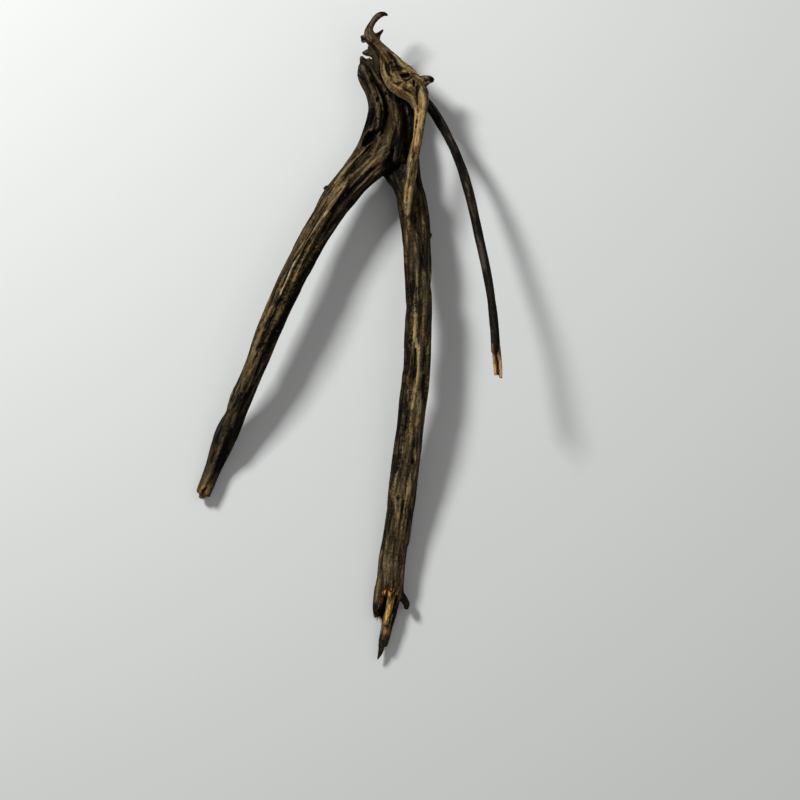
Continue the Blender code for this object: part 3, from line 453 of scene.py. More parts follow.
MARKS: tuple[Mark, ...] = (
    *drawn(Layer.BODY, "left_leg_plane",
        (4.2, -1.9, 0.0, (-2.3, 69.6), (-8.9, 60.2), (-15.0, 51.7), (-21.1, 42.8), (-26.3, 32.4),
         (-31.0, 22.1), (-36.0, 10.0), (-42.0, -4.0))),
    # Painted shade: dark strokes along the sides of the legs that turn away from the light, sinking the
    # centre leg's a little.
    *drawn(Layer.BODY, "painted_shade_sides",
        (2.3, 0.0, -0.62, (4.0, 62.0), (-3.0, 55.0), (-8.6, 46.6), (-13.6, 38.4), (-18.4, 30.0),
         (-23.0, 21.4)),
        (2.4, 0.0, -0.62, (-23.0, 21.4), (-28.0, 11.0), (-33.0, -1.0), (-38.4, -13.6), (-43.6, -26.0)),
        (2.6, 0.0, -0.70, (-43.6, -26.0), (-48.6, -37.0), (-53.6, -47.6), (-58.6, -57.4), (-61.6, -66.0)),
        (2.0, 0.3, -0.55, (24.4, 58.0), (25.2, 44.0), (26.6, 30.0), (27.2, 14.0), (26.8, -2.0),
         (26.0, -18.0)),
        (2.3, 0.3, -0.62, (26.0, -18.0), (24.2, -34.0), (21.8, -50.0), (19.6, -66.0), (17.4, -82.0),
         (15.2, -100.0)),
        (1.2, 0.0, -0.45, (36.4, 60.0), (37.6, 44.0), (38.4, 26.0), (38.4, 8.0), (37.6, -12.0),
         (35.0, -34.0))),
    *drawn(Layer.BODY, "neck_fill",
        (1.8, -0.8, 0.15, (14.6, 93.6), (11.8, 88.6), (8.4, 85.0))),
    # Painted highlights: thin light lines along the side root's upper side.
    *drawn(Layer.BODY, "side_root_painted_highlight",
        (0.5, 0.0, 0.75, (42.6, 100.8), (44.4, 97.2)),
        (0.6, 0.0, 0.80, (46.6, 94.0), (48.4, 89.0)),
        (0.5, 0.0, 0.85, (54.2, 71.4), (55.6, 65.0)),
        (0.5, 0.0, 0.65, (58.8, 50.8), (60.2, 44.2)),
        (0.5, 0.0, 0.65, (62.6, 34.8), (63.8, 28.4))),
    *drawn(Layer.BODY, "side_root_knots",
        (0.9, -0.5, -0.80, (50.0, 85.0), (50.8, 82.4)),
        (0.9, -0.5, 0.30, (55.0, 77.4), (55.6, 75.0)),
        (0.6, 0.0, 0.90, (69.0, -7.6), (69.2, -8.6))),
    *drawn(Layer.BODY, "prongs",
        (0.5, 0.8, -1.00, (68.3, -9.5), (69.0, -14.0), (69.3, -18.5)),
        (0.4, 0.0, 0.60, (67.0, -10.5), (67.6, -14.0), (67.9, -18.0)),
        (0.4, 0.0, 0.60, (70.0, -10.5), (70.3, -14.0), (70.6, -19.0))),
    *drawn(Layer.BODY, "crown_bulge",
        (2.6, -1.3, 0.20, (4.6, 125.4), (6.8, 123.4), (9.0, 121.0)),
        (0.6, 0.6, -0.90, (3.6, 122.4), (6.0, 120.6), (8.4, 118.0))),
    *drawn(Layer.BODY, "crown_grooves",
        (1.0, 1.5, -1.00, (9.4, 124.1), (11.8, 119.8), (14.1, 116.1), (16.0, 111.9), (16.9, 106.7),
         (16.4, 101.5), (15.0, 97.8), (12.7, 94.9)),
        (1.0, 1.0, -0.90, (14.1, 133.0), (15.0, 129.2), (14.6, 124.5), (16.0, 119.8), (18.8, 115.6),
         (22.1, 112.8)),
        (0.4, 0.5, -0.80, (4.2, 124.5), (6.6, 121.3), (8.5, 117.0), (9.4, 113.3)),
        (0.4, 0.5, -0.80, (5.6, 128.8), (7.5, 126.9), (9.4, 125.0), (11.3, 121.7)),
        (0.4, 0.5, -0.70, (8.5, 129.2), (11.3, 125.5), (13.6, 121.3), (15.5, 117.0)),
        (0.9, 0.8, -1.00, (12.2, 105.3), (10.3, 102.5), (8.5, 99.6), (7.5, 97.3)),
        (0.3, 0.3, -0.70, (14.6, 109.0), (14.8, 104.8), (14.6, 102.0)),
        (0.3, 0.4, -0.80, (11.8, 100.1), (12.2, 101.5), (13.4, 101.5), (13.2, 99.2), (12.2, 97.8))),
    *drawn(Layer.BODY, "tongue",
        (0.4, 0.6, -0.90, (23.0, 93.1), (21.9, 90.2), (19.7, 87.7), (16.9, 85.3)),
        (0.4, 0.4, -0.60, (22.8, 103.9), (22.8, 100.6), (22.6, 97.3)),
        (0.4, 0.5, -0.60, (20.7, 108.6), (20.7, 102.9), (20.2, 96.3)),
        (0.4, 0.4, -0.50, (18.6, 111.4), (18.8, 104.8), (18.8, 97.3)),
        (0.6, 0.8, -0.90, (24.9, 108.6), (25.4, 102.0), (24.9, 95.4), (23.7, 88.8), (23.0, 84.1))),
    # These strokes sink the skin a little and darken it as painted shade: the recess beside the strip, under
    # the burl and in the crotch.
    *drawn(Layer.BODY, "painted_shade_recess_and_crotch",
        (1.4, 1.5, -0.30, (22.6, 111.4), (27.3, 110.4), (29.1, 105.8), (29.6, 99.2), (28.9, 91.6),
         (27.3, 85.1), (24.9, 79.0)),
        (1.9, 0.6, -0.45, (18.3, 113.3), (21.6, 111.9), (25.4, 110.9), (28.2, 109.0)),
        (1.9, 0.9, -1.00, (18.3, 83.7), (19.7, 80.4), (22.6, 77.5), (24.4, 73.8)),
        (1.2, 0.0, -0.90, (15.5, 76.6), (18.3, 73.8), (20.7, 70.0), (22.1, 65.3), (23.0, 59.7))),
    *drawn(Layer.BODY, "crown_lights",
        (0.7, -0.2, 0.55, (10.8, 114.2), (9.6, 110.4), (9.4, 106.7)),
        (0.5, -0.2, 0.45, (11.8, 115.1), (12.9, 113.3), (14.8, 111.4), (15.0, 108.6)),
        (0.5, -0.2, 0.50, (12.7, 108.6), (12.0, 105.3), (12.7, 102.9)),
        (0.9, 0.0, 0.55, (5.2, 126.9), (7.5, 125.0), (9.9, 122.2))),
    *drawn(Layer.BODY, "knot_hole",
        (0.7, -0.5, 0.80, (13.6, 100.6), (13.2, 97.8), (10.3, 96.6), (7.0, 95.4), (5.4, 91.6), (4.0, 88.4)),
        (0.5, -0.5, 1.30, (10.8, 90.7), (8.0, 88.4), (5.2, 85.1), (0.9, 80.8), (-3.3, 76.1), (-7.0, 71.4)),
        (0.4, 0.5, -0.70, (9.4, 88.4), (6.1, 85.1), (2.8, 81.8))),
    *drawn(Layer.BODY, "neck",
        (0.6, -0.2, 0.70, (17.4, 88.8), (13.6, 86.5), (9.9, 83.2), (5.6, 79.0), (0.9, 74.3), (-3.3, 70.0),
         (-5.6, 67.2)),
        (0.6, 0.0, 0.50, (15.0, 84.6), (11.3, 81.8), (7.5, 78.0), (3.8, 73.8), (0.0, 70.0)),
        (0.7, 0.0, 0.45, (2.8, 86.0), (-1.4, 80.8), (-5.6, 75.7), (-9.4, 70.0)),
        (0.4, 0.3, -0.80, (2.8, 84.1), (0.5, 82.2)),
        (0.4, 0.3, -0.70, (-0.9, 80.4), (-3.8, 77.5)),
        (0.4, 0.3, -0.60, (3.8, 80.8), (0.5, 77.5), (-3.3, 74.3)),
        (0.4, 0.3, -0.70, (10.3, 84.6), (8.5, 83.2))),
    *drawn(Layer.BODY, "lower_strand",
        (1.4, 1.1, -1.00, (16.9, 82.2), (12.7, 79.0), (8.5, 76.1), (4.7, 72.4), (0.5, 67.7), (-3.8, 63.9),
         (-6.6, 60.6), (-8.5, 58.3)),
        (0.7, -0.5, 0.35, (16.9, 78.5), (12.2, 76.1), (8.5, 73.3), (4.7, 70.0), (1.9, 66.7)),
        (0.8, 0.0, -0.80, (13.6, 73.8), (9.4, 70.5), (5.2, 66.7), (0.9, 62.0), (-1.9, 57.8))),
    *drawn(Layer.BODY, "long_ridge",
        (0.7, -0.6, 2.00, (-2.3, 69.6), (-5.6, 64.9), (-8.9, 60.2), (-11.8, 55.9), (-15.0, 51.7),
         (-17.9, 47.5), (-21.1, 42.8), (-23.5, 38.1), (-26.3, 32.4), (-29.1, 26.3), (-31.0, 22.1),
         (-32.4, 18.8)),
        (0.5, 0.7, -1.00, (-3.8, 68.6), (-8.0, 63.4), (-11.8, 58.8), (-14.6, 54.0), (-17.4, 49.3),
         (-20.2, 44.6), (-22.6, 39.9), (-25.8, 35.2), (-28.2, 30.5), (-30.1, 25.8), (-31.5, 22.6)),
        (1.0, 0.0, 0.55, (-4.7, 70.0), (-8.0, 66.7), (-10.8, 63.0), (-14.1, 58.3), (-16.9, 54.5)),
        (0.4, 0.3, -0.60, (-8.9, 67.7), (-13.2, 62.5), (-16.4, 57.3), (-19.7, 52.2))),
    *drawn(Layer.BODY, "left_leg_lights",
        (0.8, 0.0, 0.45, (-18.8, 41.4), (-21.1, 36.2), (-24.0, 30.5), (-26.3, 25.4), (-28.2, 20.7),
         (-30.1, 16.9)),
        (0.4, 0.3, -0.70, (-19.3, 38.1), (-21.6, 33.8), (-23.5, 29.1)),
        (1.1, -0.2, 0.75, (-35.7, 14.1), (-38.1, 10.3), (-39.9, 6.1), (-41.8, 1.4), (-44.2, -3.8)),
        (1.2, 0.0, 0.60, (-45.1, -5.6), (-47.5, -10.8), (-49.8, -16.9), (-52.2, -23.0), (-55.0, -29.1),
         (-56.9, -34.3)),
        (0.8, 0.0, 0.55, (-43.7, -8.0), (-45.6, -12.7), (-47.0, -17.9), (-48.9, -23.0))),
    *drawn(Layer.BODY, "left_leg_blotches",
        (0.6, 0.5, -0.90, (-31.5, 16.9), (-33.4, 15.0), (-34.8, 13.2)),
        (0.7, 0.5, -1.00, (-36.2, 8.5), (-38.1, 6.6), (-39.5, 3.8)),
        (0.7, 0.5, -0.90, (-40.4, 1.4), (-41.4, -2.8), (-43.7, -7.0)),
        (0.8, 0.3, -0.90, (-39.5, -3.8), (-41.8, -5.6)),
        (1.0, 0.4, -0.90, (-51.2, -27.3), (-52.6, -30.5), (-54.5, -33.8))),
    # Painted shade: a dark band along the left leg's lower right side.
    *drawn(Layer.BODY, "left_leg_painted_side_shade",
        (1.6, 0.0, -0.90, (-11.3, 43.2), (-16.0, 36.2), (-20.2, 30.1), (-23.5, 24.0), (-25.8, 18.3),
         (-29.1, 12.2)),
        (1.7, 0.0, -0.90, (-29.1, 12.2), (-32.4, 5.6), (-35.2, -0.5), (-38.5, -7.5), (-41.4, -14.1),
         (-44.6, -21.1)),
        (2.0, 0.0, -0.90, (-45.6, -23.0), (-47.9, -29.6), (-50.8, -35.7), (-53.1, -41.8), (-56.9, -49.3),
         (-60.2, -56.9), (-62.5, -63.4))),
    *drawn(Layer.BODY, "left_leg_end",
        (0.7, -0.2, 0.70, (-53.1, -35.7), (-54.5, -39.0), (-55.5, -43.2)),
        (0.6, 0.0, 0.40, (-58.3, -45.6), (-60.6, -50.8), (-62.5, -55.5)),
        (0.8, 0.0, 0.60, (-66.3, -65.3), (-68.1, -68.6), (-70.0, -72.4)),
        (0.8, 0.9, -1.00, (-68.1, -71.9), (-70.0, -74.3)),
        (0.9, 0.3, -0.70, (-60.2, -42.3), (-62.5, -47.9), (-63.9, -53.6), (-65.3, -59.7))),
    *drawn(Layer.BODY, "leg_tops",
        (0.9, 0.0, 0.65, (27.3, 52.0), (26.5, 43.6), (26.3, 34.3)),
        (0.6, -0.2, 0.90, (31.1, 25.5), (30.3, 18.8), (30.8, 9.4), (30.5, 0.0), (31.5, -7.0)),
        (1.2, 0.0, -0.20, (-2.0, 62.0), (-8.0, 54.0), (-14.0, 45.0), (-19.6, 36.0)),
        (0.8, 0.0, 0.60, (31.5, 60.2), (32.0, 55.9)),
        (0.6, 0.0, 0.55, (33.8, 55.9), (34.8, 52.2)),
        (0.4, 0.0, 0.40, (36.7, 42.3), (37.4, 32.9), (37.6, 21.1))),
    *drawn(Layer.BODY, "centre_leg_streaks",
        (0.6, -0.2, 0.70, (31.5, 30.5), (31.5, 23.5), (32.0, 16.4)),
        (0.6, 0.0, 0.55, (28.7, 15.5), (28.7, 9.4)),
        (0.8, -0.3, 1.20, (31.0, 12.7), (31.0, 6.1), (30.5, 0.5), (31.5, -5.2)),
        (1.1, -0.3, 1.15, (32.4, -4.2), (32.4, -12.7), (31.5, -20.2), (30.1, -27.7), (29.1, -34.3)),
        (0.8, 0.0, 0.50, (32.0, -26.8), (32.0, -35.2), (31.0, -42.3)),
        (0.8, 0.0, 0.80, (30.1, -53.1), (30.1, -58.8)),
        (0.9, -0.2, 0.75, (29.1, -60.6), (28.2, -68.1), (26.3, -76.6), (24.9, -83.2)),
        (0.6, 0.0, 0.60, (26.8, -81.3), (25.8, -88.8), (25.4, -97.3)),
        (0.8, 0.0, 0.45, (21.1, -78.5), (22.1, -85.1), (20.7, -91.6)),
        (0.4, 0.0, 0.60, (21.6, -104.3), (20.7, -111.4), (19.7, -118.0)),
        (0.7, 0.0, 0.35, (17.9, -103.4), (16.9, -108.6), (16.0, -115.1))),
    *drawn(Layer.BODY, "centre_leg_grooves",
        (0.5, 0.4, -0.80, (29.1, 17.4), (28.2, 10.8), (27.3, 6.1)),
        (0.6, 0.5, -0.90, (29.6, 1.4), (28.7, -6.1), (29.1, -12.7), (28.2, -21.1), (28.2, -30.5)),
        (0.4, 0.4, -0.90, (31.0, -6.6), (30.8, -9.9), (30.5, -13.6)),
        (0.4, 0.4, -0.80, (35.0, -3.3), (34.8, -9.9), (34.3, -16.4)),
        (1.1, 0.3, -0.90, (35.2, -19.3), (34.3, -24.9), (34.8, -31.5)),
        (1.1, 0.4, -0.80, (26.3, -23.5), (26.3, -30.5), (26.3, -38.1), (25.4, -44.6), (24.0, -51.7),
         (22.6, -58.8), (21.6, -64.4)),
        (0.4, 0.5, -0.90, (28.2, -35.2), (27.7, -40.9), (27.7, -45.6)),
        (1.0, 0.0, -0.70, (19.7, -71.0), (18.3, -79.9), (17.4, -88.8), (16.0, -98.7)),
        (0.4, 0.3, -0.70, (25.4, -77.5), (24.9, -83.2), (24.9, -89.8)),
        (0.4, 0.4, -0.70, (30.5, 57.8), (31.0, 50.3), (33.4, 45.6), (34.8, 39.0), (36.2, 31.5),
         (36.2, 24.4)),
        (0.8, 0.2, -0.70, (29.6, 31.5), (29.6, 24.0), (28.7, 17.9)),
        (0.8, 0.0, -0.75, (24.0, 55.9), (24.7, 44.6), (24.9, 34.3), (26.3, 23.5), (26.1, 7.0),
         (25.8, -9.4), (24.0, -25.8), (21.6, -42.3))),
    *drawn(Layer.BODY, "foot",
        (0.7, 0.7, -1.00, (22.6, -75.7), (22.6, -77.1)),
        (0.4, 0.4, -0.90, (19.3, -117.0), (18.8, -120.8), (20.2, -121.7)),
        (0.4, 0.4, -0.95, (15.1, -123.6), (15.3, -121.2), (16.4, -119.5), (18.4, -119.8), (19.9, -121.6),
         (19.7, -123.6)),
        (0.6, 0.0, 0.80, (19.6, -125.4), (18.0, -130.0), (17.0, -133.6)),
        (0.4, 0.5, -0.95, (22.3, -122.6), (21.4, -126.8), (19.8, -131.6), (18.2, -136.4)),
        (1.1, 0.5, -0.90, (12.2, -127.4), (13.6, -130.2), (14.6, -133.0)),
        (0.7, 0.3, -0.90, (22.6, -127.4), (20.7, -133.0), (19.3, -138.7)),
        (0.7, 1.2, -1.00, (17.9, -123.1), (16.4, -126.0), (15.3, -129.7), (14.8, -133.9)),
        (0.6, 0.4, -0.90, (16.0, -136.8), (18.3, -137.7)),
        (0.7, 0.0, 0.40, (16.9, -139.1), (16.4, -143.3)),
        (0.9, 0.0, 0.85, (16.8, -121.2), (17.9, -122.4))),
    *drawn(Layer.OVERLAY, "hook",
        (0.8, 0.0, -0.90, (16.0, 151.3), (17.9, 150.6)),
        (0.5, 0.0, -0.60, (16.0, 149.5), (13.2, 148.5), (11.5, 146.2), (11.3, 143.3)),
        (0.4, 0.3, -0.60, (9.4, 146.2), (8.7, 143.3), (8.9, 140.5)),
        (0.6, 0.3, -0.90, (5.2, 138.7), (7.5, 138.4), (9.9, 136.8), (12.2, 133.9)),
        (0.5, 0.3, -0.60, (10.3, 138.2), (13.2, 135.8), (15.5, 133.0))),
    *drawn(Layer.OVERLAY, "burl_lights",
        (0.8, -0.3, 0.70, (16.0, 126.4), (16.4, 123.1), (17.9, 120.3), (20.7, 117.0), (24.4, 115.1)),
        (0.6, 0.0, 0.50, (24.4, 115.1), (27.3, 113.3), (29.6, 110.9)),
        (0.6, -0.2, 0.80, (20.7, 131.6), (23.0, 128.8), (25.4, 126.0), (28.7, 124.1)),
        (0.6, 0.0, 0.70, (28.7, 124.1), (31.5, 121.7), (33.4, 119.8)),
        (1.8, 0.0, 0.50, (19.0, 121.0), (21.6, 118.2), (24.0, 116.6)),
        (0.7, -0.6, 0.65, (24.4, 123.2), (26.4, 123.6), (28.4, 122.8))),
    *drawn(Layer.OVERLAY, "burl_grooves",
        (0.8, 0.5, -0.80, (16.9, 126.9), (18.2, 125.4), (18.4, 124.0)),
        (0.7, 0.5, -0.80, (20.6, 125.2), (22.4, 125.4), (24.2, 124.6)),
        (0.8, 0.4, -0.60, (26.0, 114.8), (28.4, 113.6))),
    *drawn(Layer.OVERLAY, "shaft",
        (0.7, 0.2, -0.80, (8.2, 137.2), (10.6, 134.8), (13.4, 131.6), (15.2, 129.0), (15.6, 126.8)),
        (0.8, -0.2, 0.50, (12.4, 137.4), (15.2, 134.2), (17.6, 131.8))),
    *drawn(Layer.OVERLAY, "burl_furrows",
        (0.6, 0.6, -0.80, (18.3, 126.4), (19.7, 127.4), (19.7, 125.0)),
        (0.5, 0.5, -0.70, (21.1, 128.3), (22.6, 126.0), (24.0, 124.5)),
        (0.5, 0.5, -0.70, (16.9, 125.5), (17.9, 123.1), (19.3, 121.3)),
        (0.5, 0.4, -0.60, (17.9, 132.5), (19.7, 130.7), (21.6, 127.8)),
        (0.6, 0.5, -0.70, (20.2, 124.1), (22.6, 124.1), (24.4, 125.0)),
        (0.5, 0.3, -0.50, (20.7, 118.0), (22.6, 117.5), (24.9, 118.4))),
    *drawn(Layer.OVERLAY, "burl_eye",
        (0.7, 0.8, -0.95, (23.8, 121.6), (25.4, 121.5), (27.7, 121.8)),
        (0.4, 0.5, -0.80, (24.4, 119.8), (26.3, 119.1), (28.2, 119.8), (29.1, 121.3)),
        (0.7, -0.8, 0.35, (26.6, 120.3), (27.3, 120.3)),
        (0.5, 0.7, -0.95, (29.9, 119.0), (30.1, 116.6)),
        (0.7, -0.4, 0.80, (27.3, 116.8), (28.4, 116.6)),
        (0.6, 0.4, -0.70, (31.5, 116.6), (32.0, 114.2), (31.5, 111.9))),
    *drawn(Layer.OVERLAY, "dark_tips",
        (1.7, 0.0, -1.00, (37.9, 120.6), (39.9, 119.4)),
        (0.7, 0.0, -0.70, (15.6, 151.6), (12.4, 150.4), (9.8, 147.2), (8.2, 144.0), (6.6, 141.2)),
        (1.0, 0.0, -0.90, (12.8, 140.2), (14.2, 141.6), (15.6, 143.0)),
        (1.6, 0.0, -0.80, (4.8, 139.2), (6.6, 138.6)),
        (0.4, 0.2, -0.70, (30.1, 122.7), (32.9, 121.3), (36.2, 121.7)),
        (0.6, 0.4, -0.80, (34.8, 120.3), (36.2, 118.9))),
    *drawn(Layer.OVERLAY, "strip_grooves",
        (0.6, 0.7, -0.75, (31.3, 114.6), (31.6, 111.0), (31.7, 107.6)),
        (0.4, 0.5, -0.60, (31.9, 106.0), (32.0, 103.6)),
        (0.5, 0.5, -0.70, (31.4, 100.6), (31.4, 98.4), (30.9, 96.6)),
        (0.4, 0.4, -0.50, (34.0, 103.0), (33.6, 101.0)),
        (0.4, 0.4, -0.60, (31.6, 93.2), (31.3, 90.6)),
        (0.5, 0.4, -0.60, (29.6, 87.0), (29.9, 84.6), (29.4, 82.6)),
        (0.4, 0.4, -0.60, (28.6, 80.6), (28.0, 78.2)),
        (0.4, 0.4, -0.60, (29.6, 76.6), (28.8, 74.4)),
        (0.4, 0.4, -0.60, (28.0, 72.6), (27.6, 68.6)),
        (0.4, 0.3, -0.55, (26.9, 64.6), (26.6, 62.6))),
    *drawn(Layer.OVERLAY, "strip_lights",
        (1.2, -0.3, 0.95, (33.6, 115.5), (34.3, 108.6), (33.4, 102.0), (32.4, 95.4), (31.5, 88.8)),
        (0.5, 0.0, 0.50, (29.6, 110.4), (30.5, 104.8), (30.5, 99.2), (29.6, 91.6), (28.7, 86.0)),
        (0.7, 0.0, 0.60, (28.2, 83.2), (27.3, 76.6), (26.3, 69.1), (25.6, 62.5)),
        (1.2, -0.2, 0.95, (28.6, 69.1), (27.8, 62.5), (27.2, 55.6)),
        (0.4, 0.0, 0.50, (31.5, 82.2), (31.0, 75.7), (30.1, 70.0)),
        (0.3, 0.0, -0.60, (36.0, 112.3), (36.2, 107.6), (35.2, 102.9))),
)


def catmull_rom(before: Array, start: Array, end: Array, after: Array, share: Array) -> Array:
    """Reads the smooth line between two stations.

    Args:
        before, start, end, after: Four neighbouring stations.
        share: How far to read from start to end, one value a row.

    Returns:
        One row of station values for each share.
    """
    share = share[:, None]
    return 0.5 * (
        2.0 * start
        + (end - before) * share
        + (2.0 * before - 5.0 * start + 4.0 * end - after) * share**2
        + (3.0 * start - before - 3.0 * end + after) * share**3
    )


def unit(rows: Array) -> Array:
    """The rows at length one."""
    return rows / np.maximum(np.linalg.norm(rows, axis=-1, keepdims=True), 1e-9)


def smoothstep(low: float, high: float, value: Array) -> Array:
    """Rises smoothly from 0 at low to 1 at high."""
    share = np.clip((value - low) / (high - low), 0.0, 1.0)
    return share * share * (3.0 - 2.0 * share)


def read_between(grid: Array, low: Array, high: Array, share: Array) -> Array:
    """Reads a grid of values between its cells.

    Args:
        grid: The values; its last axis holds the parts of one value.
        low, high: The cells before and after each place, one row a place.
        share: How far each place is from low to high, on each axis.

    Returns:
        One row of parts for each place.
    """
    total = np.zeros((len(low), grid.shape[-1]), np.float32)
    for corner in range(8):
        weight: Any = 1.0
        index = []
        for axis in range(3):
            upper = bool(corner >> axis & 1)
            index.append((high if upper else low)[:, axis])
            weight = weight * (share[:, axis] if upper else 1.0 - share[:, axis])
        total += weight[:, None] * grid[tuple(index)]
    return total


@dataclass
class Rings:
    """The rings of one limb, in metres: middles, half sizes, axes and length along."""

    middle: Array
    half: Array
    heading: Array
    side: Array
    front: Array
    along: Array

    @classmethod
    def of(cls, limb: Limb, step: float) -> "Rings":
        """Reads a limb's stations more closely.

        Args:
            limb: The limb to read.
            step: The distance between rings, in metres.

        Returns:
            The limb's rings.
        """
        rows = np.array(limb.stations) * MM
        rows = np.vstack([rows[:1], rows, rows[-1:]])
        pieces = []
        for before, start, end, after in zip(rows, rows[1:], rows[2:], rows[3:]):
            steps = max(1, round(float(np.linalg.norm(end[:3] - start[:3])) / step))
            pieces.append(catmull_rom(before, start, end, after, np.arange(steps) / steps))
        pieces.append(rows[-1:])
        read = np.vstack(pieces)
        middle = read[:, :3]
        ahead = np.vstack([middle[1:], middle[-1:]])
        behind = np.vstack([middle[:1], middle[:-1]])
        heading = unit(ahead - behind)
        side = unit(np.cross(heading, (0.0, 0.0, 1.0)))
        gaps = np.linalg.norm(np.diff(middle, axis=0), axis=1)
        LOG.debug("%s: %d rings", limb.name, len(middle))
        return cls(
            middle=middle,
            half=np.maximum(read[:, 3:], 0.5 * MM),
            heading=heading,
            side=side,
            front=np.cross(side, heading),
            along=np.concatenate([[0.0], np.cumsum(gaps)]),
        )


@dataclass
class RandomField:
    """Smooth random values in space, the same for the same seed."""

    cell: float
    seed: int
    size: int = 64
    lattice: Array = field(init=False, repr=False)

    def __post_init__(self) -> None:
        """Draws the lattice."""
        draw = np.random.default_rng(self.seed)
        self.lattice = draw.standard_normal((self.size,) * 3).astype(np.float32)[..., None]

    def at(self, points: Array) -> Array:
        """The value at each point.

        Args:
            points: Rows of x, y and z, in metres.

        Returns:
            One value a row.
        """
        scaled = points / self.cell
        base = np.floor(scaled)
        share = scaled - base
        share = share * share * (3.0 - 2.0 * share)
        low = base.astype(np.int64) % self.size
        return read_between(self.lattice, low, (low + 1) % self.size, share)[:, 0]


@dataclass
class GrainField:
    """Which way the grain runs at each place in the wood, and streaks drawn out along it."""

    rings: Sequence[Rings]
    knots: Sequence[Knot]
    cell: float = 1.6 * MM
    margin: float = 16.0 * MM
    thinnest: float = 1.5 * MM
    reach: float = 2.6
    fall: float = 2.2
    knot_share: float = 0.95
    low: Array = field(init=False, repr=False)
    headings: Array = field(init=False, repr=False)

    def __post_init__(self) -> None:
        """Blends the limbs' headings on a grid and turns them aside at the knots."""
        middles = np.vstack([ring.middle for ring in self.rings])
        self.low = middles.min(0) - self.margin
        shape = np.ceil((middles.max(0) + self.margin - self.low) / self.cell).astype(int) + 1
        self.headings = np.zeros((*shape, 3), np.float32)
        for ring in self.rings:
            radius = ring.half.max(axis=1)
            for middle, heading, size in zip(ring.middle, ring.heading, radius):
                self._add(middle, heading, max(float(size), self.thinnest))
        self.headings = unit(self.headings)
        for knot in self.knots:
            self._turn_aside(knot)

    def _window(self, middle: Array, radius: float) -> tuple[tuple[slice, ...], Array]:
        """The grid cells within a radius of a point, and their offsets from it."""
        first = np.maximum(np.floor((middle - radius - self.low) / self.cell).astype(int), 0)
        last = np.minimum(
            np.ceil((middle + radius - self.low) / self.cell).astype(int) + 1, self.headings.shape[:3]
        )
        window = tuple(slice(a, b) for a, b in zip(first, last))
        axes = [np.arange(a, b) * self.cell + c for a, b, c in zip(first, last, self.low)]
        return window, np.stack(np.meshgrid(*axes, indexing="ij"), axis=-1) - middle

    def _add(self, middle: Array, heading: Array, size: float) -> None:
        """Adds one ring's heading to the cells round it."""
        window, offset = self._window(middle, self.reach * size)
        share = np.exp(-self.fall * (offset**2).sum(-1) / size**2)
        self.headings[window] += share[..., None] * heading

    def _turn_aside(self, knot: Knot) -> None:
        """Takes out the part of the heading that runs into a knot."""
        middle = np.array((knot.x, knot.y, knot.z)) * MM
        reach = knot.reach * MM
        window, offset = self._window(middle, 2.0 * reach)
        outward = unit(offset)
        heading = self.headings[window]
        into = (heading * outward).sum(-1, keepdims=True)
        share = self.knot_share * np.exp(-((offset**2).sum(-1, keepdims=True)) / reach**2)
        self.headings[window] = unit(heading - share * into * outward)

    def heading_at(self, points: Array) -> Array:
        """The grain's heading at each point."""
        scaled = np.clip(
            (points - self.low) / self.cell, 0.0, np.array(self.headings.shape[:3]) - 1.001
        )
        base = scaled.astype(np.int64)
        share = (scaled - base).astype(np.float32)
        return unit(read_between(self.headings, base, base + 1, share))

    def streaks(self, points: Array, fields: Sequence[tuple[RandomField, int]], step: float) -> list[Array]:
        """Random values drawn out along the grain.

        Args:
            points: Where to read them.
            fields: The random fields, each with how many steps its streaks run either way.
            step: The length of one step, in metres.

        Returns:
            For each field, one value a point, with a spread of one.
        """
        totals = [random.at(points) for random, _ in fields]
        longest = max(steps for _, steps in fields)
        for way in (1.0, -1.0):
            spots = points.astype(np.float32).copy()
            for count in range(1, longest + 1):
                spots += way * step * self.heading_at(spots)
                for number, (random, steps) in enumerate(fields):
                    if count <= steps:
                        fade = 0.5 + 0.5 * math.cos(math.pi * count / (steps + 1))
                        totals[number] += fade * random.at(spots)
        return [(total - total.mean()) / total.std() for total in totals]


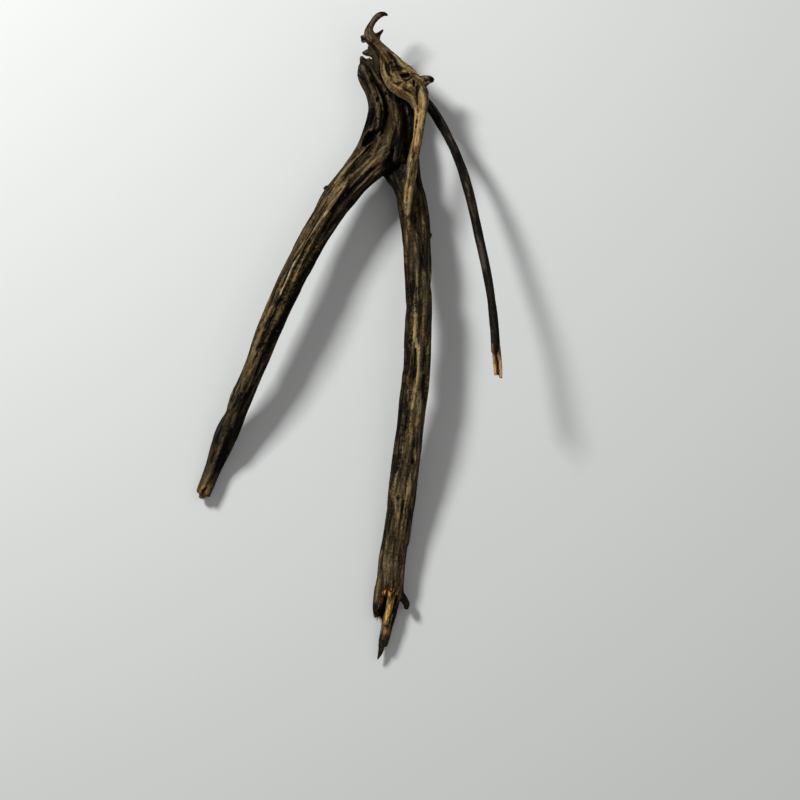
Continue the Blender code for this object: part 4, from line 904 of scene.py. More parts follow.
@dataclass
class SkinMesh:
    """A mesh's points and normals as arrays, with named values to store on it."""

    mesh: bpy.types.Mesh
    points: Array = field(init=False, repr=False)
    normals: Array = field(init=False, repr=False)

    def __post_init__(self) -> None:
        """Reads the mesh."""
        count = len(self.mesh.vertices)
        flat = np.empty(count * 3, np.float32)
        self.mesh.vertices.foreach_get("co", flat)
        self.points = flat.reshape(-1, 3).astype(np.float64)
        self.mesh.vertex_normals.foreach_get("vector", flat)
        self.normals = flat.reshape(-1, 3).astype(np.float64)

    def move(self, points: Array) -> None:
        """Puts the vertices at new places."""
        self.mesh.vertices.foreach_set("co", points.astype(np.float32).ravel())
        self.mesh.update()
        self.__post_init__()

    def store(self, name: str, values: Array) -> None:
        """Keeps a number, vector or colour for each vertex under a name."""
        columns = 1 if values.ndim == 1 else values.shape[1]
        for kind, (part, width) in VALUE_KINDS.items():
            if width == columns:
                layer = self.mesh.attributes.new(name, kind, "POINT")
                layer.data.foreach_set(part, values.astype(np.float32).ravel())

    def read(self, name: str) -> Array:
        """The numbers kept under a name."""
        values = np.empty(len(self.mesh.vertices), np.float32)
        self.mesh.attributes[name].data.foreach_get("value", values)
        return values

    def corners(self) -> Array:
        """The corners of each four-sided face."""
        flat = np.empty(len(self.mesh.loops), np.int32)
        self.mesh.loops.foreach_get("vertex_index", flat)
        return flat.reshape(-1, 4)

    def part_of(self, corners: Array, name: str) -> bpy.types.Mesh:
        """A mesh of some of the faces, with the whole skin's normals and kept values.

        Args:
            corners: The faces, four corners a row.
            name: The new mesh's name.

        Returns:
            The new mesh.
        """
        used, index = np.unique(corners, return_inverse=True)
        mesh = bpy.data.meshes.new(name)
        mesh.from_pydata(self.points[used].tolist(), [], index.reshape(-1, 4).tolist())
        mesh.shade_smooth()
        part = SkinMesh(mesh)
        for layer in self.mesh.attributes:
            if layer.domain != "POINT" or layer.data_type not in VALUE_KINDS or layer.name == "position":
                continue
            value_name, width = VALUE_KINDS[layer.data_type]
            values = np.empty(len(self.mesh.vertices) * width, np.float32)
            layer.data.foreach_get(value_name, values)
            part.store(layer.name, values.reshape(-1, width)[used] if width > 1 else values[used])
        mesh.normals_split_custom_set_from_vertices(self.normals[used].tolist())
        return mesh

    def neighbour_mean(self, rounds: int) -> Callable[[Array], Array]:
        """A function that averages values over neighbouring vertices, a number of rounds."""
        edges = np.empty(len(self.mesh.edges) * 2, np.int32)
        self.mesh.edges.foreach_get("vertices", edges)
        edges = edges.reshape(-1, 2)
        starts = np.concatenate([edges[:, 0], edges[:, 1]])
        ends = np.concatenate([edges[:, 1], edges[:, 0]])
        count = len(self.mesh.vertices)
        degree = np.maximum(np.bincount(starts, minlength=count), 1)

        def mean(values: Array) -> Array:
            """The averaged values."""
            columns = values.reshape(count, -1).T
            for _ in range(rounds):
                columns = [
                    0.5 * column + 0.5 * np.bincount(starts, weights=column[ends], minlength=count) / degree
                    for column in columns
                ]
            return np.stack(columns, axis=1).reshape(values.shape)

        return mean


def operator(operation: str, swapped: bool = False) -> Callable[["Wire", Any], "Wire"]:
    """An arithmetic method of Wire.

    Args:
        operation: What the Math node does.
        swapped: Whether the wire is the right-hand value.

    Returns:
        The method, which adds a Math node to the wire's tree.
    """

    def method(wire: "Wire", other: Any) -> "Wire":
        """The Math node's output."""
        values = {0: other, 1: wire} if swapped else {0: wire, 1: other}
        return wire.board.add("ShaderNodeMath", {"operation": operation}, values)

    return method


class Wire:
    """A node's output. Arithmetic on it adds Math nodes to its tree."""

    __add__ = operator("ADD")
    __radd__ = operator("ADD", swapped=True)
    __sub__ = operator("SUBTRACT")
    __rsub__ = operator("SUBTRACT", swapped=True)
    __mul__ = operator("MULTIPLY")
    __rmul__ = operator("MULTIPLY", swapped=True)

    def __init__(self, board: "Board", socket: bpy.types.NodeSocket) -> None:
        """Holds the socket and the tree that it is in."""
        self.board = board
        self.socket = socket

    def out(self, name: str | int) -> "Wire":
        """Another output of the same node."""
        return Wire(self.board, self.socket.node.outputs[name])


class Board:
    """Adds nodes to one tree, each from its type, settings and socket values."""

    def __init__(self, tree: bpy.types.NodeTree) -> None:
        """Holds the tree."""
        self.tree = tree

    def add(
        self,
        kind: str,
        settings: dict[str, Any] | None = None,
        sockets: dict[str | int, Any] | None = None,
        output: str | int = 0,
    ) -> Wire:
        """Adds a node.

        Args:
            kind: The node's type.
            settings: Its properties.
            sockets: Values or wires for its inputs, by name or number.
            output: Which output to return.

        Returns:
            The node's output.
        """
        node = self.tree.nodes.new(kind)
        for name, value in (settings or {}).items():
            setattr(node, name, value)
        for key, value in (sockets or {}).items():
            if isinstance(value, Wire):
                self.tree.links.new(value.socket, node.inputs[key])
            else:
                node.inputs[key].default_value = value
        return Wire(self, node.outputs[output])

    def attribute(self, name: str, output: str = "Fac") -> Wire:
        """A value that the mesh keeps under a name."""
        return self.add("ShaderNodeAttribute", {"attribute_name": name}, output=output)

    def mix(self, share: Any, first: Any, second: Any, blend: str = "MIX") -> Wire:
        """Mixes two colours."""
        settings = {"data_type": "RGBA", "blend_type": blend, "clamp_factor": True}
        return self.add("ShaderNodeMix", settings, {0: share, 6: first, 7: second}, output=2)

    def between(self, value: Any, low: float, high: float, to_low: float = 0.0, to_high: float = 1.0) -> Wire:
        """Maps a value smoothly from one range to another."""
        sockets = {"Value": value, "From Min": low, "From Max": high, "To Min": to_low, "To Max": to_high}
        return self.add("ShaderNodeMapRange", {"interpolation_type": "SMOOTHSTEP"}, sockets)

    def noise(self, vector: Any, scale: float, detail: float, roughness: float = 0.55) -> Wire:
        """A noise texture's value."""
        sockets = {"Vector": vector, "Scale": scale, "Detail": detail, "Roughness": roughness}
        return self.add("ShaderNodeTexNoise", {}, sockets)

    def scaled(self, vector: Any, factors: Colour) -> Wire:
        """A vector with each part multiplied."""
        return self.add("ShaderNodeVectorMath", {"operation": "MULTIPLY"}, {0: vector, 1: factors})


def new_material(name: str) -> tuple[bpy.types.Material, bpy.types.ShaderNode]:
    """A new material with nodes, and its shader."""
    material = bpy.data.materials.new(name)
    material.use_nodes = True
    return material, material.node_tree.nodes["Principled BSDF"]


@dataclass(frozen=True)
class ToneShares:
    """How far each thing moves the wood's tone, which runs from 0, a groove, to 1, a ridge."""

    base: float = 0.36
    light: float = 0.40
    cavity: float = 0.20
    furrow: float = 0.030
    streak: float = 0.055
    fibre: float = 0.075
    lines: float = 0.85
    threads: float = 0.60
    pores: float = 0.85
    drift: float = 0.82
    blots: float = 1.3
    crack: float = 0.14
    slit: float = 0.20
    check: float = 0.26
    # The last two darken the wood as painted shade: where little air reaches the skin, and on sides that face
    # the ground.
    shade: float = 0.42
    painted_flank_shade: float = 0.36


@dataclass(frozen=True)
class WeatheredWood:
    """Dry root wood whose colour and grain follow what the skin keeps at each vertex.

    Scales are in waves a metre; a stretch is the scale across, through and along the grain.
    """

    name: str = "weathered_root_wood"
    roughness: float = 0.78
    roughness_spread: float = 0.10
    shine: float = 0.10
    bump_height: float = 0.00040
    bump_strength: float = 0.9
    warp_scale: float = 190.0
    warp_reach: float = 0.0022
    line_stretch: Colour = (1250.0, 1250.0, 95.0)
    thread_stretch: Colour = (2600.0, 2600.0, 300.0)
    pore_scale: float = 1150.0
    drift_scale: float = 75.0
    blot_scale: float = 420.0
    warmth_scale: float = 130.0
    crack_range: Range = (-1.9, -1.1)
    slit_range: Range = (-2.1, -1.3)
    check_range: Range = (0.30, 0.37)
    air_range: Range = (0.12, 0.80)
    body_range: Range = (-0.06, 0.40)
    ridge_range: Range = (0.34, 0.98)
    worn_range: Range = (0.90, 1.60)
    warmth_range: Range = (0.38, 0.62)
    worn_share: float = 0.9
    shares: ToneShares = ToneShares()
    worn_colour: Colour = (0.400, 0.315, 0.200)
    cool_tint: Colour = (0.93, 0.98, 0.98)
    warm_tint: Colour = (1.12, 0.98, 0.82)

    def material(self) -> bpy.types.Material:
        """Builds the material."""
        material, shader = new_material(self.name)
        board = Board(material.node_tree)
        place = board.add("ShaderNodeTexCoord", output="Object")
        light = board.attribute("light")
        sockets = {"Vector": place, "Scale": self.warp_scale, "Detail": 2.0}
        warp = board.add("ShaderNodeTexNoise", {}, sockets, output="Color")
        sockets = {0: warp, 1: (self.warp_reach,) * 3, 2: board.attribute("course", "Vector")}
        course = board.add("ShaderNodeVectorMath", {"operation": "MULTIPLY_ADD"}, sockets)
        lines = board.noise(board.scaled(course, self.line_stretch), 1.0, 5.0, 0.68)
        threads = board.noise(board.scaled(course, self.thread_stretch), 1.0, 3.0, 0.6)
        pores = board.noise(place, self.pore_scale, 3.0, 0.62)
        tone = self._tone(board, place, light, (lines, threads, pores))
        colour = self._colour(board, place, light, tone)
        grit = board.add("ShaderNodeBump", {}, {
            "Strength": self.bump_strength,
            "Distance": self.bump_height,
            "Height": 0.60 * lines + 0.40 * threads + 0.45 * pores,
        })
        spread = self.roughness_spread
        rough = board.between(tone, 0.0, 1.0, self.roughness + spread, self.roughness - spread)
        for name, wire in {"Base Color": colour, "Normal": grit, "Roughness": rough}.items():
            board.tree.links.new(wire.socket, shader.inputs[name])
        shader.inputs["Specular IOR Level"].default_value = self.shine
        return material

    def _tone(self, board: Board, place: Wire, light: Wire, grain: tuple[Wire, Wire, Wire]) -> Wire:
        """Where the wood stands between the bottom of a groove and a ridge.

        Args:
            board: The material's nodes.
            place: The place on the root.
            light: How light the marks leave the wood.
            grain: The lines, the threads and the pores.

        Returns:
            The tone, mostly from 0 to 1.
        """
        lines, threads, pores = grain
        kept = ("sure", "furrow", "streak", "fibre", "shade", "cavity", "painted_flank_shade", "mottle")
        sure, furrow, streak, fibre, shade, cavity, painted_flank_shade, mottle = map(board.attribute, kept)
        drift = board.noise(place, self.drift_scale, 4.0, 0.55)
        blots = board.noise(place, self.blot_scale, 4.0, 0.62)
        by = self.shares
        smooth_grain = 1.0 - 0.75 * mottle
        tone = by.base + light * (by.light + by.light * lines) + by.cavity * cavity
        tone = tone + smooth_grain * (by.furrow * furrow + by.streak * streak + by.fibre * fibre)
        tone = tone + sure * (by.lines * (lines - 0.5) + by.threads * (threads - 0.5))
        tone = tone + by.pores * (pores - 0.5)
        tone = tone + by.drift * (drift - 0.5) + mottle * (by.blots * (blots - 0.5))
        crack = board.between(furrow, *self.crack_range, 1.0, 0.0)
        slit = board.between(streak, *self.slit_range, 1.0, 0.0)
        check = board.between(threads, *self.check_range, 1.0, 0.0) * sure
        # Painted shade: open_air is low where rays from the skin soon hit wood, and the tone drops there.
        open_air = board.between(shade, *self.air_range)
        tone = tone - smooth_grain * (by.crack * crack + by.slit * slit) - by.check * check
        # Painted shade: the tone also drops on sides that face the ground.
        return tone - by.shade * (1.0 - open_air) - by.painted_flank_shade * painted_flank_shade

    def _colour(self, board: Board, place: Wire, light: Wire, tone: Wire) -> Wire:
        """The wood's colour at a tone, bare on worn ridges, warmer and cooler from place to place."""
        kept = ("groove_tone", "body_tone", "ridge_tone")
        groove, body, ridge = (board.attribute(name, "Color") for name in kept)
        colour = board.mix(board.between(tone, *self.body_range), groove, body)
        colour = board.mix(board.between(tone, *self.ridge_range), colour, ridge)
        worn_share = board.between(light, *self.worn_range, 0.0, self.worn_share)
        colour = board.mix(worn_share, colour, (*self.worn_colour, 1.0))
        warmth = board.between(board.noise(place, self.warmth_scale, 3.0), *self.warmth_range)
        tint = board.mix(warmth, (*self.cool_tint, 1.0), (*self.warm_tint, 1.0))
        return board.mix(1.0, colour, tint, "MULTIPLY")


class GeometryBoard(Board):
    """A Geometry Nodes tree that takes a geometry and named sizes."""

    def __init__(self, name: str, sizes: dict[str, float]) -> None:
        """Makes the tree and its inputs.

        Args:
            name: The tree's name.
            sizes: Each input's name and value.
        """
        super().__init__(bpy.data.node_groups.new(name, "GeometryNodeTree"))
        new_socket = self.tree.interface.new_socket
        new_socket("Geometry", in_out="OUTPUT", socket_type="NodeSocketGeometry")
        new_socket("Geometry", in_out="INPUT", socket_type="NodeSocketGeometry")
        self.values = {
            new_socket(size, in_out="INPUT", socket_type="NodeSocketFloat").identifier: value
            for size, value in sizes.items()
        }
        self.given = self.add("NodeGroupInput")

    def named(self, name: str, kind: str = "FLOAT") -> Wire:
        """A value that the geometry keeps under a name."""
        return self.add("GeometryNodeInputNamedAttribute", {"data_type": kind}, {"Name": name})

    def run(self, obj: bpy.types.Object, geometry: Wire, material: bpy.types.Material) -> None:
        """Dresses a geometry and turns the object into it."""
        real = self.add("GeometryNodeRealizeInstances", {}, {"Geometry": geometry})
        dressed = self.add("GeometryNodeSetMaterial", {}, {"Geometry": real, "Material": material})
        end = self.tree.nodes.new("NodeGroupOutput")
        self.tree.links.new(dressed.socket, end.inputs[0])
        modifier = obj.modifiers.new(self.tree.name, "NODES")
        modifier.node_group = self.tree
        for identifier, value in self.values.items():
            modifier[identifier] = value
        keep_as_mesh(obj)


def put_in_scene(name: str, data: bpy.types.ID) -> bpy.types.Object:
    """An object made of a mesh, a light or a camera, linked to the scene."""
    obj = bpy.data.objects.new(name, data)
    bpy.context.scene.collection.objects.link(obj)
    return obj


def keep_as_mesh(obj: bpy.types.Object) -> None:
    """Turns an object's modifiers into its mesh."""
    graph = bpy.context.evaluated_depsgraph_get()
    made = bpy.data.meshes.new_from_object(obj.evaluated_get(graph))
    old = obj.data
    obj.modifiers.clear()
    obj.data = made
    bpy.data.meshes.remove(old)


@dataclass
class ReliefTree:
    """Geometry Nodes that raise and cut a skin by the streaks that it keeps."""

    material: bpy.types.Material
    furrow_depth: float = 0.32 * MM
    swell: float = 0.16 * MM
    slit_depth: float = 0.26 * MM
    grain_height: float = 0.06 * MM
    pit_depth: float = 0.26 * MM
    burl_height: float = 1.10 * MM
    pit_scale: float = 420.0
    lump_scale: float = 430.0
    crack_range: Range = (-1.7, -0.9)
    slit_range: Range = (-2.0, -1.1)
    pit_range: Range = (0.24, 0.40)

    def apply(self, obj: bpy.types.Object) -> None:
        """Runs the tree on an object, with its sizes as inputs."""
        names = ("furrow_depth", "swell", "slit_depth", "grain_height", "pit_depth", "burl_height")
        sizes = {name.replace("_", " ").capitalize(): getattr(self, name) for name in names}
        board = GeometryBoard("weathered_relief", sizes)
        given = board.given
        kept = ("furrow", "streak", "fibre", "girth", "mottle")
        furrow, streak, fibre, girth, mottle = map(board.named, kept)
        crack = board.between(furrow, *self.crack_range, 1.0, 0.0)
        slit = board.between(streak, *self.slit_range, 1.0, 0.0)
        place = board.add("GeometryNodeInputPosition")
        pitting = board.noise(place, self.pit_scale, 3.0)
        pits = board.between(pitting, *self.pit_range, 1.0, 0.0)
        lumps = board.noise(place, self.lump_scale, 3.0)
        rise = given.out("Swell") * furrow - given.out("Furrow depth") * crack
        rise = rise - given.out("Slit depth") * slit + given.out("Grain height") * (streak + fibre)
        rise = rise * (1.0 - 0.7 * mottle) + given.out("Burl height") * mottle * (lumps - 0.5)
        rise = (rise - given.out("Pit depth") * pits) * girth
        normal = board.add("GeometryNodeInputNormal")
        offset = board.add("ShaderNodeVectorMath", {"operation": "SCALE"}, {0: normal, "Scale": rise})
        sockets = {"Geometry": given.out("Geometry"), "Offset": offset}
        board.run(obj, board.add("GeometryNodeSetPosition", {}, sockets), self.material)


@dataclass
class SplinterFibres:
    """Tapered fibres along the grain at the torn ends, set on points by Geometry Nodes."""

    material: bpy.types.Material
    skin: BVHTree
    shift: Array
    sides: int = 6
    tip_share: float = 0.12
    sunk: float = 0.35 * MM
    lean: float = 0.16
    sway: float = 0.20
    length_spread: float = 0.30
    girth_spread: float = 0.20
    sky: float = 0.1
    seed: int = 70

    def build(self) -> list[bpy.types.Object]:
        """Makes one object of fibres for each torn place."""
        return [self._bundle(fray, self.seed + number) for number, fray in enumerate(FRAYS)]

    def _bundle(self, fray: Fray, seed: int) -> bpy.types.Object:
        """The fibres of one torn place.

        Args:
            fray: The torn place.
            seed: What to draw the fibres' places from.

        Returns:
            The fibres, as one object.
        """
        draw = np.random.default_rng(seed)
        turn = math.radians(fray.turn)
        ahead = np.array((math.cos(turn), math.sin(turn), 0.0))
        beside = np.array((-ahead[1], ahead[0], 0.0))
        roots, aims, lengths, girths = [], [], [], []
        for along, across, rise, sway, size in draw.uniform(-1.0, 1.0, (fray.count, 5)):
            spot = np.array((fray.x, fray.y, 0.0)) + along * fray.half_length * ahead
            spot = (spot + across * fray.half_width * beside) * MM + self.shift
            hit = self.skin.ray_cast((spot[0], spot[1], self.sky), (0.0, 0.0, -1.0))[0]
            if hit is None:
                continue
            aim = unit(ahead + self.sway * sway * beside + (0.02, 0.02, 0.02 + self.lean * rise))
            length = fray.length * MM * (1.0 - self.length_spread + self.length_spread * size)
            girth = fray.girth * MM * (1.0 - self.girth_spread + self.girth_spread * size)
            root = np.array(hit) - self.sunk * aim
            tip = root + length * aim
            low, high = (np.array(corner) for corner in CAD_BOX)
            past = (tip - 2.0 * girth < low).any() or (tip + 2.0 * girth > high).any()
            if past or root[2] < 2.0 * girth:
                continue
            roots.append(root)
            aims.append(aim)
            lengths.append(length)
            girths.append(girth)
        mesh = bpy.data.meshes.new(f"fibres_{fray.name}")
        mesh.from_pydata([tuple(root) for root in roots], [], [])
        points = SkinMesh(mesh)
        for name, values in {"aim": aims, "length": lengths, "thickness": girths}.items():
            points.store(name, np.array(values))
        self._dress(points, fray.tone.value, draw)
        obj = put_in_scene(mesh.name, mesh)
        board = GeometryBoard(f"splinters_{fray.name}", {"Sides": self.sides, "Tip share": self.tip_share})
        cone = board.add("GeometryNodeMeshCone", {"fill_type": "NGON"}, {
            "Vertices": board.given.out("Sides"),
            "Radius Top": board.given.out("Tip share"),
            "Radius Bottom": 1.0,
            "Depth": 1.0,
        })
        sockets = {"Vector": board.named("aim", "FLOAT_VECTOR")}
        facing = board.add("FunctionNodeAlignRotationToVector", {"axis": "Z"}, sockets)
        across = board.named("thickness")
        size = board.add("ShaderNodeCombineXYZ", {}, {"X": across, "Y": across, "Z": board.named("length")})
        fibres = board.add("GeometryNodeInstanceOnPoints", {}, {
            "Points": board.given.out("Geometry"),
            "Instance": cone,
            "Rotation": facing,
            "Scale": size,
        })
        board.run(obj, fibres, self.material)
        LOG.info("%s: %d fibres", obj.name, len(roots))
        return obj

    @staticmethod
    def _dress(points: SkinMesh, tone: WoodTone, draw: np.random.Generator) -> None:
        """Stores what the wood material reads, once for each fibre."""
        count = len(points.points)
        points.store("course", points.points)
        points.store("light", draw.uniform(-0.7, 0.6, count))
        for name in ("sure", "shade"):
            points.store(name, np.ones(count))
        for name in ("groove", "body", "ridge"):
            points.store(f"{name}_tone", np.tile((*getattr(tone, name), 1.0), (count, 1)))


@dataclass
class RootSkin:
    """The whole root as one fine skin, cut into a few pieces that stand for the plain solid."""

    material: bpy.types.Material
    sides: int = 44
    ring_step: float = 0.7 * MM
    voxel: float = 0.36 * MM
    floor_bite: float = 0.5 * MM
    flutes_round: float = 1.3
    flutes_along: float = 20.0
    flute_depth: float = 0.26
    crease_sharpness: float = 3.5
    swell: float = 0.12
    swell_scale: float = 0.6
    seed_step: float = 7.3
    open_reach: float = 12.0 * MM
    rays: int = 7
    ray_start: float = 0.08 * MM
    grain_step: float = 0.9 * MM
    strongest: float = 2.5
    full_girth: float = 5.0 * MM
    thin_mark: float = 0.4
    least_rough: float = 0.35
    sunk_near: float = 0.08 * MM
    sunk_wide: float = 0.40 * MM
    burl: Patch = Patch(25.0, 120.5, -38.0, 11.0, 7.5, Tone.BURL)

    def build(self) -> list[bpy.types.Object]:
        """Makes the skin.

        Returns:
            The skin's pieces, at the origin, with the values that their material reads.
        """
        rings = [Rings.of(limb, self.ring_step) for limb in LIMBS]
        obj = put_in_scene("root_skin", self._lofts(rings))
        fuse = obj.modifiers.new("fuse", "REMESH")
        fuse.mode = "VOXEL"
        fuse.voxel_size = self.voxel
        soften = obj.modifiers.new("soften", "SMOOTH")
        soften.factor = 0.5
        soften.iterations = 5
        keep_as_mesh(obj)
        LOG.info("fused: %d points", len(obj.data.vertices))
        skin = SkinMesh(obj.data)
        limbs = LimbMap.of(skin.points, rings)
        self._carve(skin, limbs)
        grain = GrainField(rings, KNOTS)
        self._keep_grain(skin, grain, limbs)
        self._keep_tones(skin, limbs)
        LOG.info("grain and tones kept")
        ReliefTree(self.material).apply(obj)
        skin = SkinMesh(obj.data)
        self._keep_shade(skin)
        shift = self._settle(skin)
        LOG.info("settled")
        pieces = self._cut_apart(skin, limbs)
        tree = BVHTree.FromPolygons(skin.points.tolist(), skin.corners().tolist())
        pieces += SplinterFibres(self.material, tree, shift).build()
        bpy.data.objects.remove(obj)
        return pieces

    def _flute(self, angle: float, along: float, seed: float) -> float:
        """How far the skin stands out at an angle round a limb, as a share of its radius."""
        spot = Vector((
            math.cos(angle) * self.flutes_round,
            math.sin(angle) * self.flutes_round,
            along * self.flutes_along + seed,
        ))
        crease = max(0.0, 1.0 - self.crease_sharpness * abs(noise.noise(spot)))
        return 1.0 + self.swell * noise.noise(spot * self.swell_scale) - self.flute_depth * crease**2

    def _lofts(self, rings: Sequence[Rings]) -> bpy.types.Mesh:
        """All the limbs as overlapping closed skins in one mesh."""
        points: list[Array] = []
        faces: list[list[int]] = []
        angles = np.arange(self.sides) * (2.0 * math.pi / self.sides)
        start = 0
        for number, ring in enumerate(rings):
            for row in range(len(ring.middle)):
                reach = np.array([
                    self._flute(angle, ring.along[row], self.seed_step * number) for angle in angles
                ])
                across = np.outer(np.cos(angles) * reach * ring.half[row, 0], ring.side[row])
                up = np.outer(np.sin(angles) * reach * ring.half[row, 1], ring.front[row])
                points.append(ring.middle[row] + across + up)
            for row in range(len(ring.middle) - 1):
                first = start + row * self.sides
                for corner in range(self.sides):
                    beside = (corner + 1) % self.sides
                    faces.append([
                        first + beside, first + corner,
                        first + self.sides + corner, first + self.sides + beside,
                    ])
            last = start + (len(ring.middle) - 1) * self.sides
            faces.append(list(range(start, start + self.sides)))
            faces.append(list(range(last + self.sides - 1, last - 1, -1)))
            start = last + self.sides
        mesh = bpy.data.meshes.new("root_skin")
        mesh.from_pydata(np.vstack(points).tolist(), [], faces)
        return mesh

    def _carve(self, skin: SkinMesh, limbs: "LimbMap") -> None:
        """Presses in the knot holes and the marks, and stores how light each mark leaves the wood."""
        rough = 1.0 + 0.26 * RandomField(0.9 * MM, 53).at(skin.points)
        rough += 0.20 * RandomField(2.6 * MM, 59).at(skin.points)
        patchy = np.clip(0.92 + 0.30 * RandomField(2.2 * MM, 61).at(skin.points), 0.25, 1.1)
        facing_up = np.maximum(skin.normals[:, 2], 0.0)
        drop = np.zeros(len(skin.points))
        for hollow in HOLLOWS:
            reach = hollow.reach(skin.points)
            drop = np.maximum(drop, hollow.depth * MM * np.exp(-reach * reach))
        rise = np.zeros(len(skin.points))
        light = np.zeros(len(skin.points))
        for mark in MARKS:
            near, cover = self._cover(mark, skin.points, rough)
            broken = min(max(mark.half_width / self.thin_mark - 1.0, 0.0), 1.0) if mark.light else 0.0
            cover = cover * (1.0 - broken * (1.0 - patchy[near]))
            cover = cover * smoothstep(0.05, 0.45, facing_up[near])
            overlay = limbs.overlay[near]
            cover = cover * (overlay if mark.layer is Layer.OVERLAY else 1.0 - overlay)
            LOG.debug("%s: %d points", mark.place, len(near))
            rise[near] -= mark.depth * MM * cover
            if mark.light:
                light[near] += np.minimum(cover, 1.0) * (mark.light - light[near])
        points = skin.points.copy()
        points[:, 2] += (rise - drop) * facing_up
        skin.move(points)
        skin.store("light", light)

    def _cover(self, mark: Mark, points: Array, rough: Array) -> tuple[Array, Array]:
        """The vertices near a mark, and how much it covers each."""
        rows = np.array([(*point, 0.0) for point in mark.points])
        rows = np.vstack([rows[:1], rows, rows[-1:]])
        share = np.linspace(0.0, 1.0, 9)
        line = np.vstack([catmull_rom(*rows[i:i + 4], share) for i in range(len(rows) - 3)])[:, :2] * MM
        span = np.linspace(0.0, 1.0, len(line))
        taper = 0.30 + 0.70 * np.sin(np.pi * np.clip(0.04 + 0.92 * span, 0.0, 1.0)) ** 0.5
        half = mark.half_width * MM * taper
        margin = 2.2 * mark.half_width * MM
        low, high = line.min(0) - margin, line.max(0) + margin
        plan = points[:, :2]
        near = np.flatnonzero(((plan > low) & (plan < high)).all(axis=1))
        cover = np.zeros(len(near))
        for chunk in np.array_split(np.arange(len(near)), max(1, len(near) // ROWS_AT_ONCE)):
            away = plan[near[chunk], None, :] - line[None, :, :]
            reach = (np.sqrt((away**2).sum(-1)) / half).min(axis=1)
            reach = reach * np.maximum(rough[near[chunk]], self.least_rough)
            cover[chunk] = np.exp(-reach * reach)
        return near, cover

    def _keep_grain(self, skin: SkinMesh, grain: GrainField, limbs: "LimbMap") -> None:
        """Stores the streaks that the relief and the material read."""
        fields = (
            (RandomField(3.0 * MM, 11), 18),
            (RandomField(1.3 * MM, 23), 10),
            (RandomField(0.75 * MM, 37), 6),
        )
        streaks = grain.streaks(skin.points, fields, self.grain_step)
        for name, values in zip(("furrow", "streak", "fibre"), streaks):
            skin.store(name, np.clip(values, -self.strongest, self.strongest))
        skin.store("girth", np.clip(limbs.size / self.full_girth, 0.3, 1.0))
        skin.store("course", limbs.course)
        skin.store("sure", limbs.sure)
        knobbly = smoothstep(1.5, 0.5, self.burl.reach(skin.points))
        skin.store("mottle", limbs.overlay * (0.30 + 0.70 * knobbly))

    def _keep_tones(self, skin: SkinMesh, limbs: "LimbMap") -> None:
        """Stores the colours of each vertex's wood, and how far its side faces the ground, which the material
        darkens as painted shade.
        """
        ragged = 1.0 + 0.30 * skin.read("streak")
        facing_up = smoothstep(0.0, 0.25, skin.normals[:, 2])
        covers = []
        for patch in PATCHES:
            cover = patch.strength * smoothstep(1.6, 0.5, patch.reach(skin.points) * ragged)
            covers.append(cover if patch.all_round else cover * facing_up)
        for name in ("groove", "body", "ridge"):
            colour = limbs.share @ np.array([getattr(limb.tone.value, name) for limb in LIMBS])
            for patch, cover in zip(PATCHES, covers):
                colour += cover[:, None] * (np.array(getattr(patch.tone.value, name)) - colour)
            skin.store(f"{name}_tone", np.hstack([colour, np.ones((len(colour), 1))]))
        # Painted shade: sides that face sideways or down are kept darker for the material.
        skin.store("painted_flank_shade", smoothstep(0.60, 0.0, skin.normals[:, 2]))

    def _keep_shade(self, skin: SkinMesh) -> None:
        """Stores how open to the air each vertex is, which the material turns into painted shade, and how far
        it stands out of its surroundings.
        """
        near = skin.neighbour_mean(3)
        wide = skin.neighbour_mean(30)
        stands_near = ((skin.points - near(skin.points)) * skin.normals).sum(1) / self.sunk_near
        stands_wide = ((skin.points - wide(skin.points)) * skin.normals).sum(1) / self.sunk_wide
        skin.store("cavity", np.clip(0.45 * stands_near + 0.55 * stands_wide, -1.0, 1.0))
        skin.store("shade", near(self._openness(skin)))

    def _openness(self, skin: SkinMesh) -> Array:
        """The share of rays from each vertex that leave the wood."""
        tree = BVHTree.FromPolygons(skin.points.tolist(), skin.corners().tolist())
        turns = np.arange(self.rays) * GOLDEN_TURN
        lift = np.sqrt((np.arange(self.rays) + 0.5) / self.rays)
        flat = np.sqrt(1.0 - lift**2)
        helper = np.where(np.abs(skin.normals[:, 2:]) < 0.9, (0.0, 0.0, 1.0), (1.0, 0.0, 0.0))
        side = unit(np.cross(helper, skin.normals))
        front = np.cross(skin.normals, side)
        starts = (skin.points + skin.normals * self.ray_start).tolist()
        free = np.zeros(len(skin.points))
        for turn, up, out in zip(turns, lift, flat):
            way = up * skin.normals + out * (math.cos(turn) * side + math.sin(turn) * front)
            hits = [tree.ray_cast(start, ray, self.open_reach)[3] for start, ray in zip(starts, way.tolist())]
            free += [1.0 if hit is None else hit / self.open_reach for hit in hits]
        return free / self.rays

    def _settle(self, skin: SkinMesh) -> Array:
        """Puts the skin where the plain solid lies, flat where it rests and no larger.

        Returns:
            How far the skin moved.
        """
        low, high = (np.array(corner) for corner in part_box(NODE))
        shift = (low + high - skin.points.min(0) - skin.points.max(0)) / 2.0
        shift[2] = -self.floor_bite
        skin.move(np.clip(skin.points + shift, low, high))
        return shift

    def _cut_apart(self, skin: SkinMesh, limbs: "LimbMap") -> list[bpy.types.Object]:
        """Deals the skin's faces out to its pieces, which share their rims exactly."""
        corners = skin.corners()
        middles = skin.points[corners].mean(axis=1) / MM
        kind = np.zeros(len(corners), int)
        for number, piece in enumerate(Piece):
            kind[piece.value.holds(middles)] = number
        kind[limbs.overlay[corners[:, 0]] > 0.5] = list(Piece).index(Piece.PEELED_ROOT)
        made = []
        for number, piece in enumerate(Piece):
            mesh = skin.part_of(corners[kind == number], piece.value.name)
            mesh.materials.append(self.material)
            made.append(put_in_scene(piece.value.name, mesh))
        return made


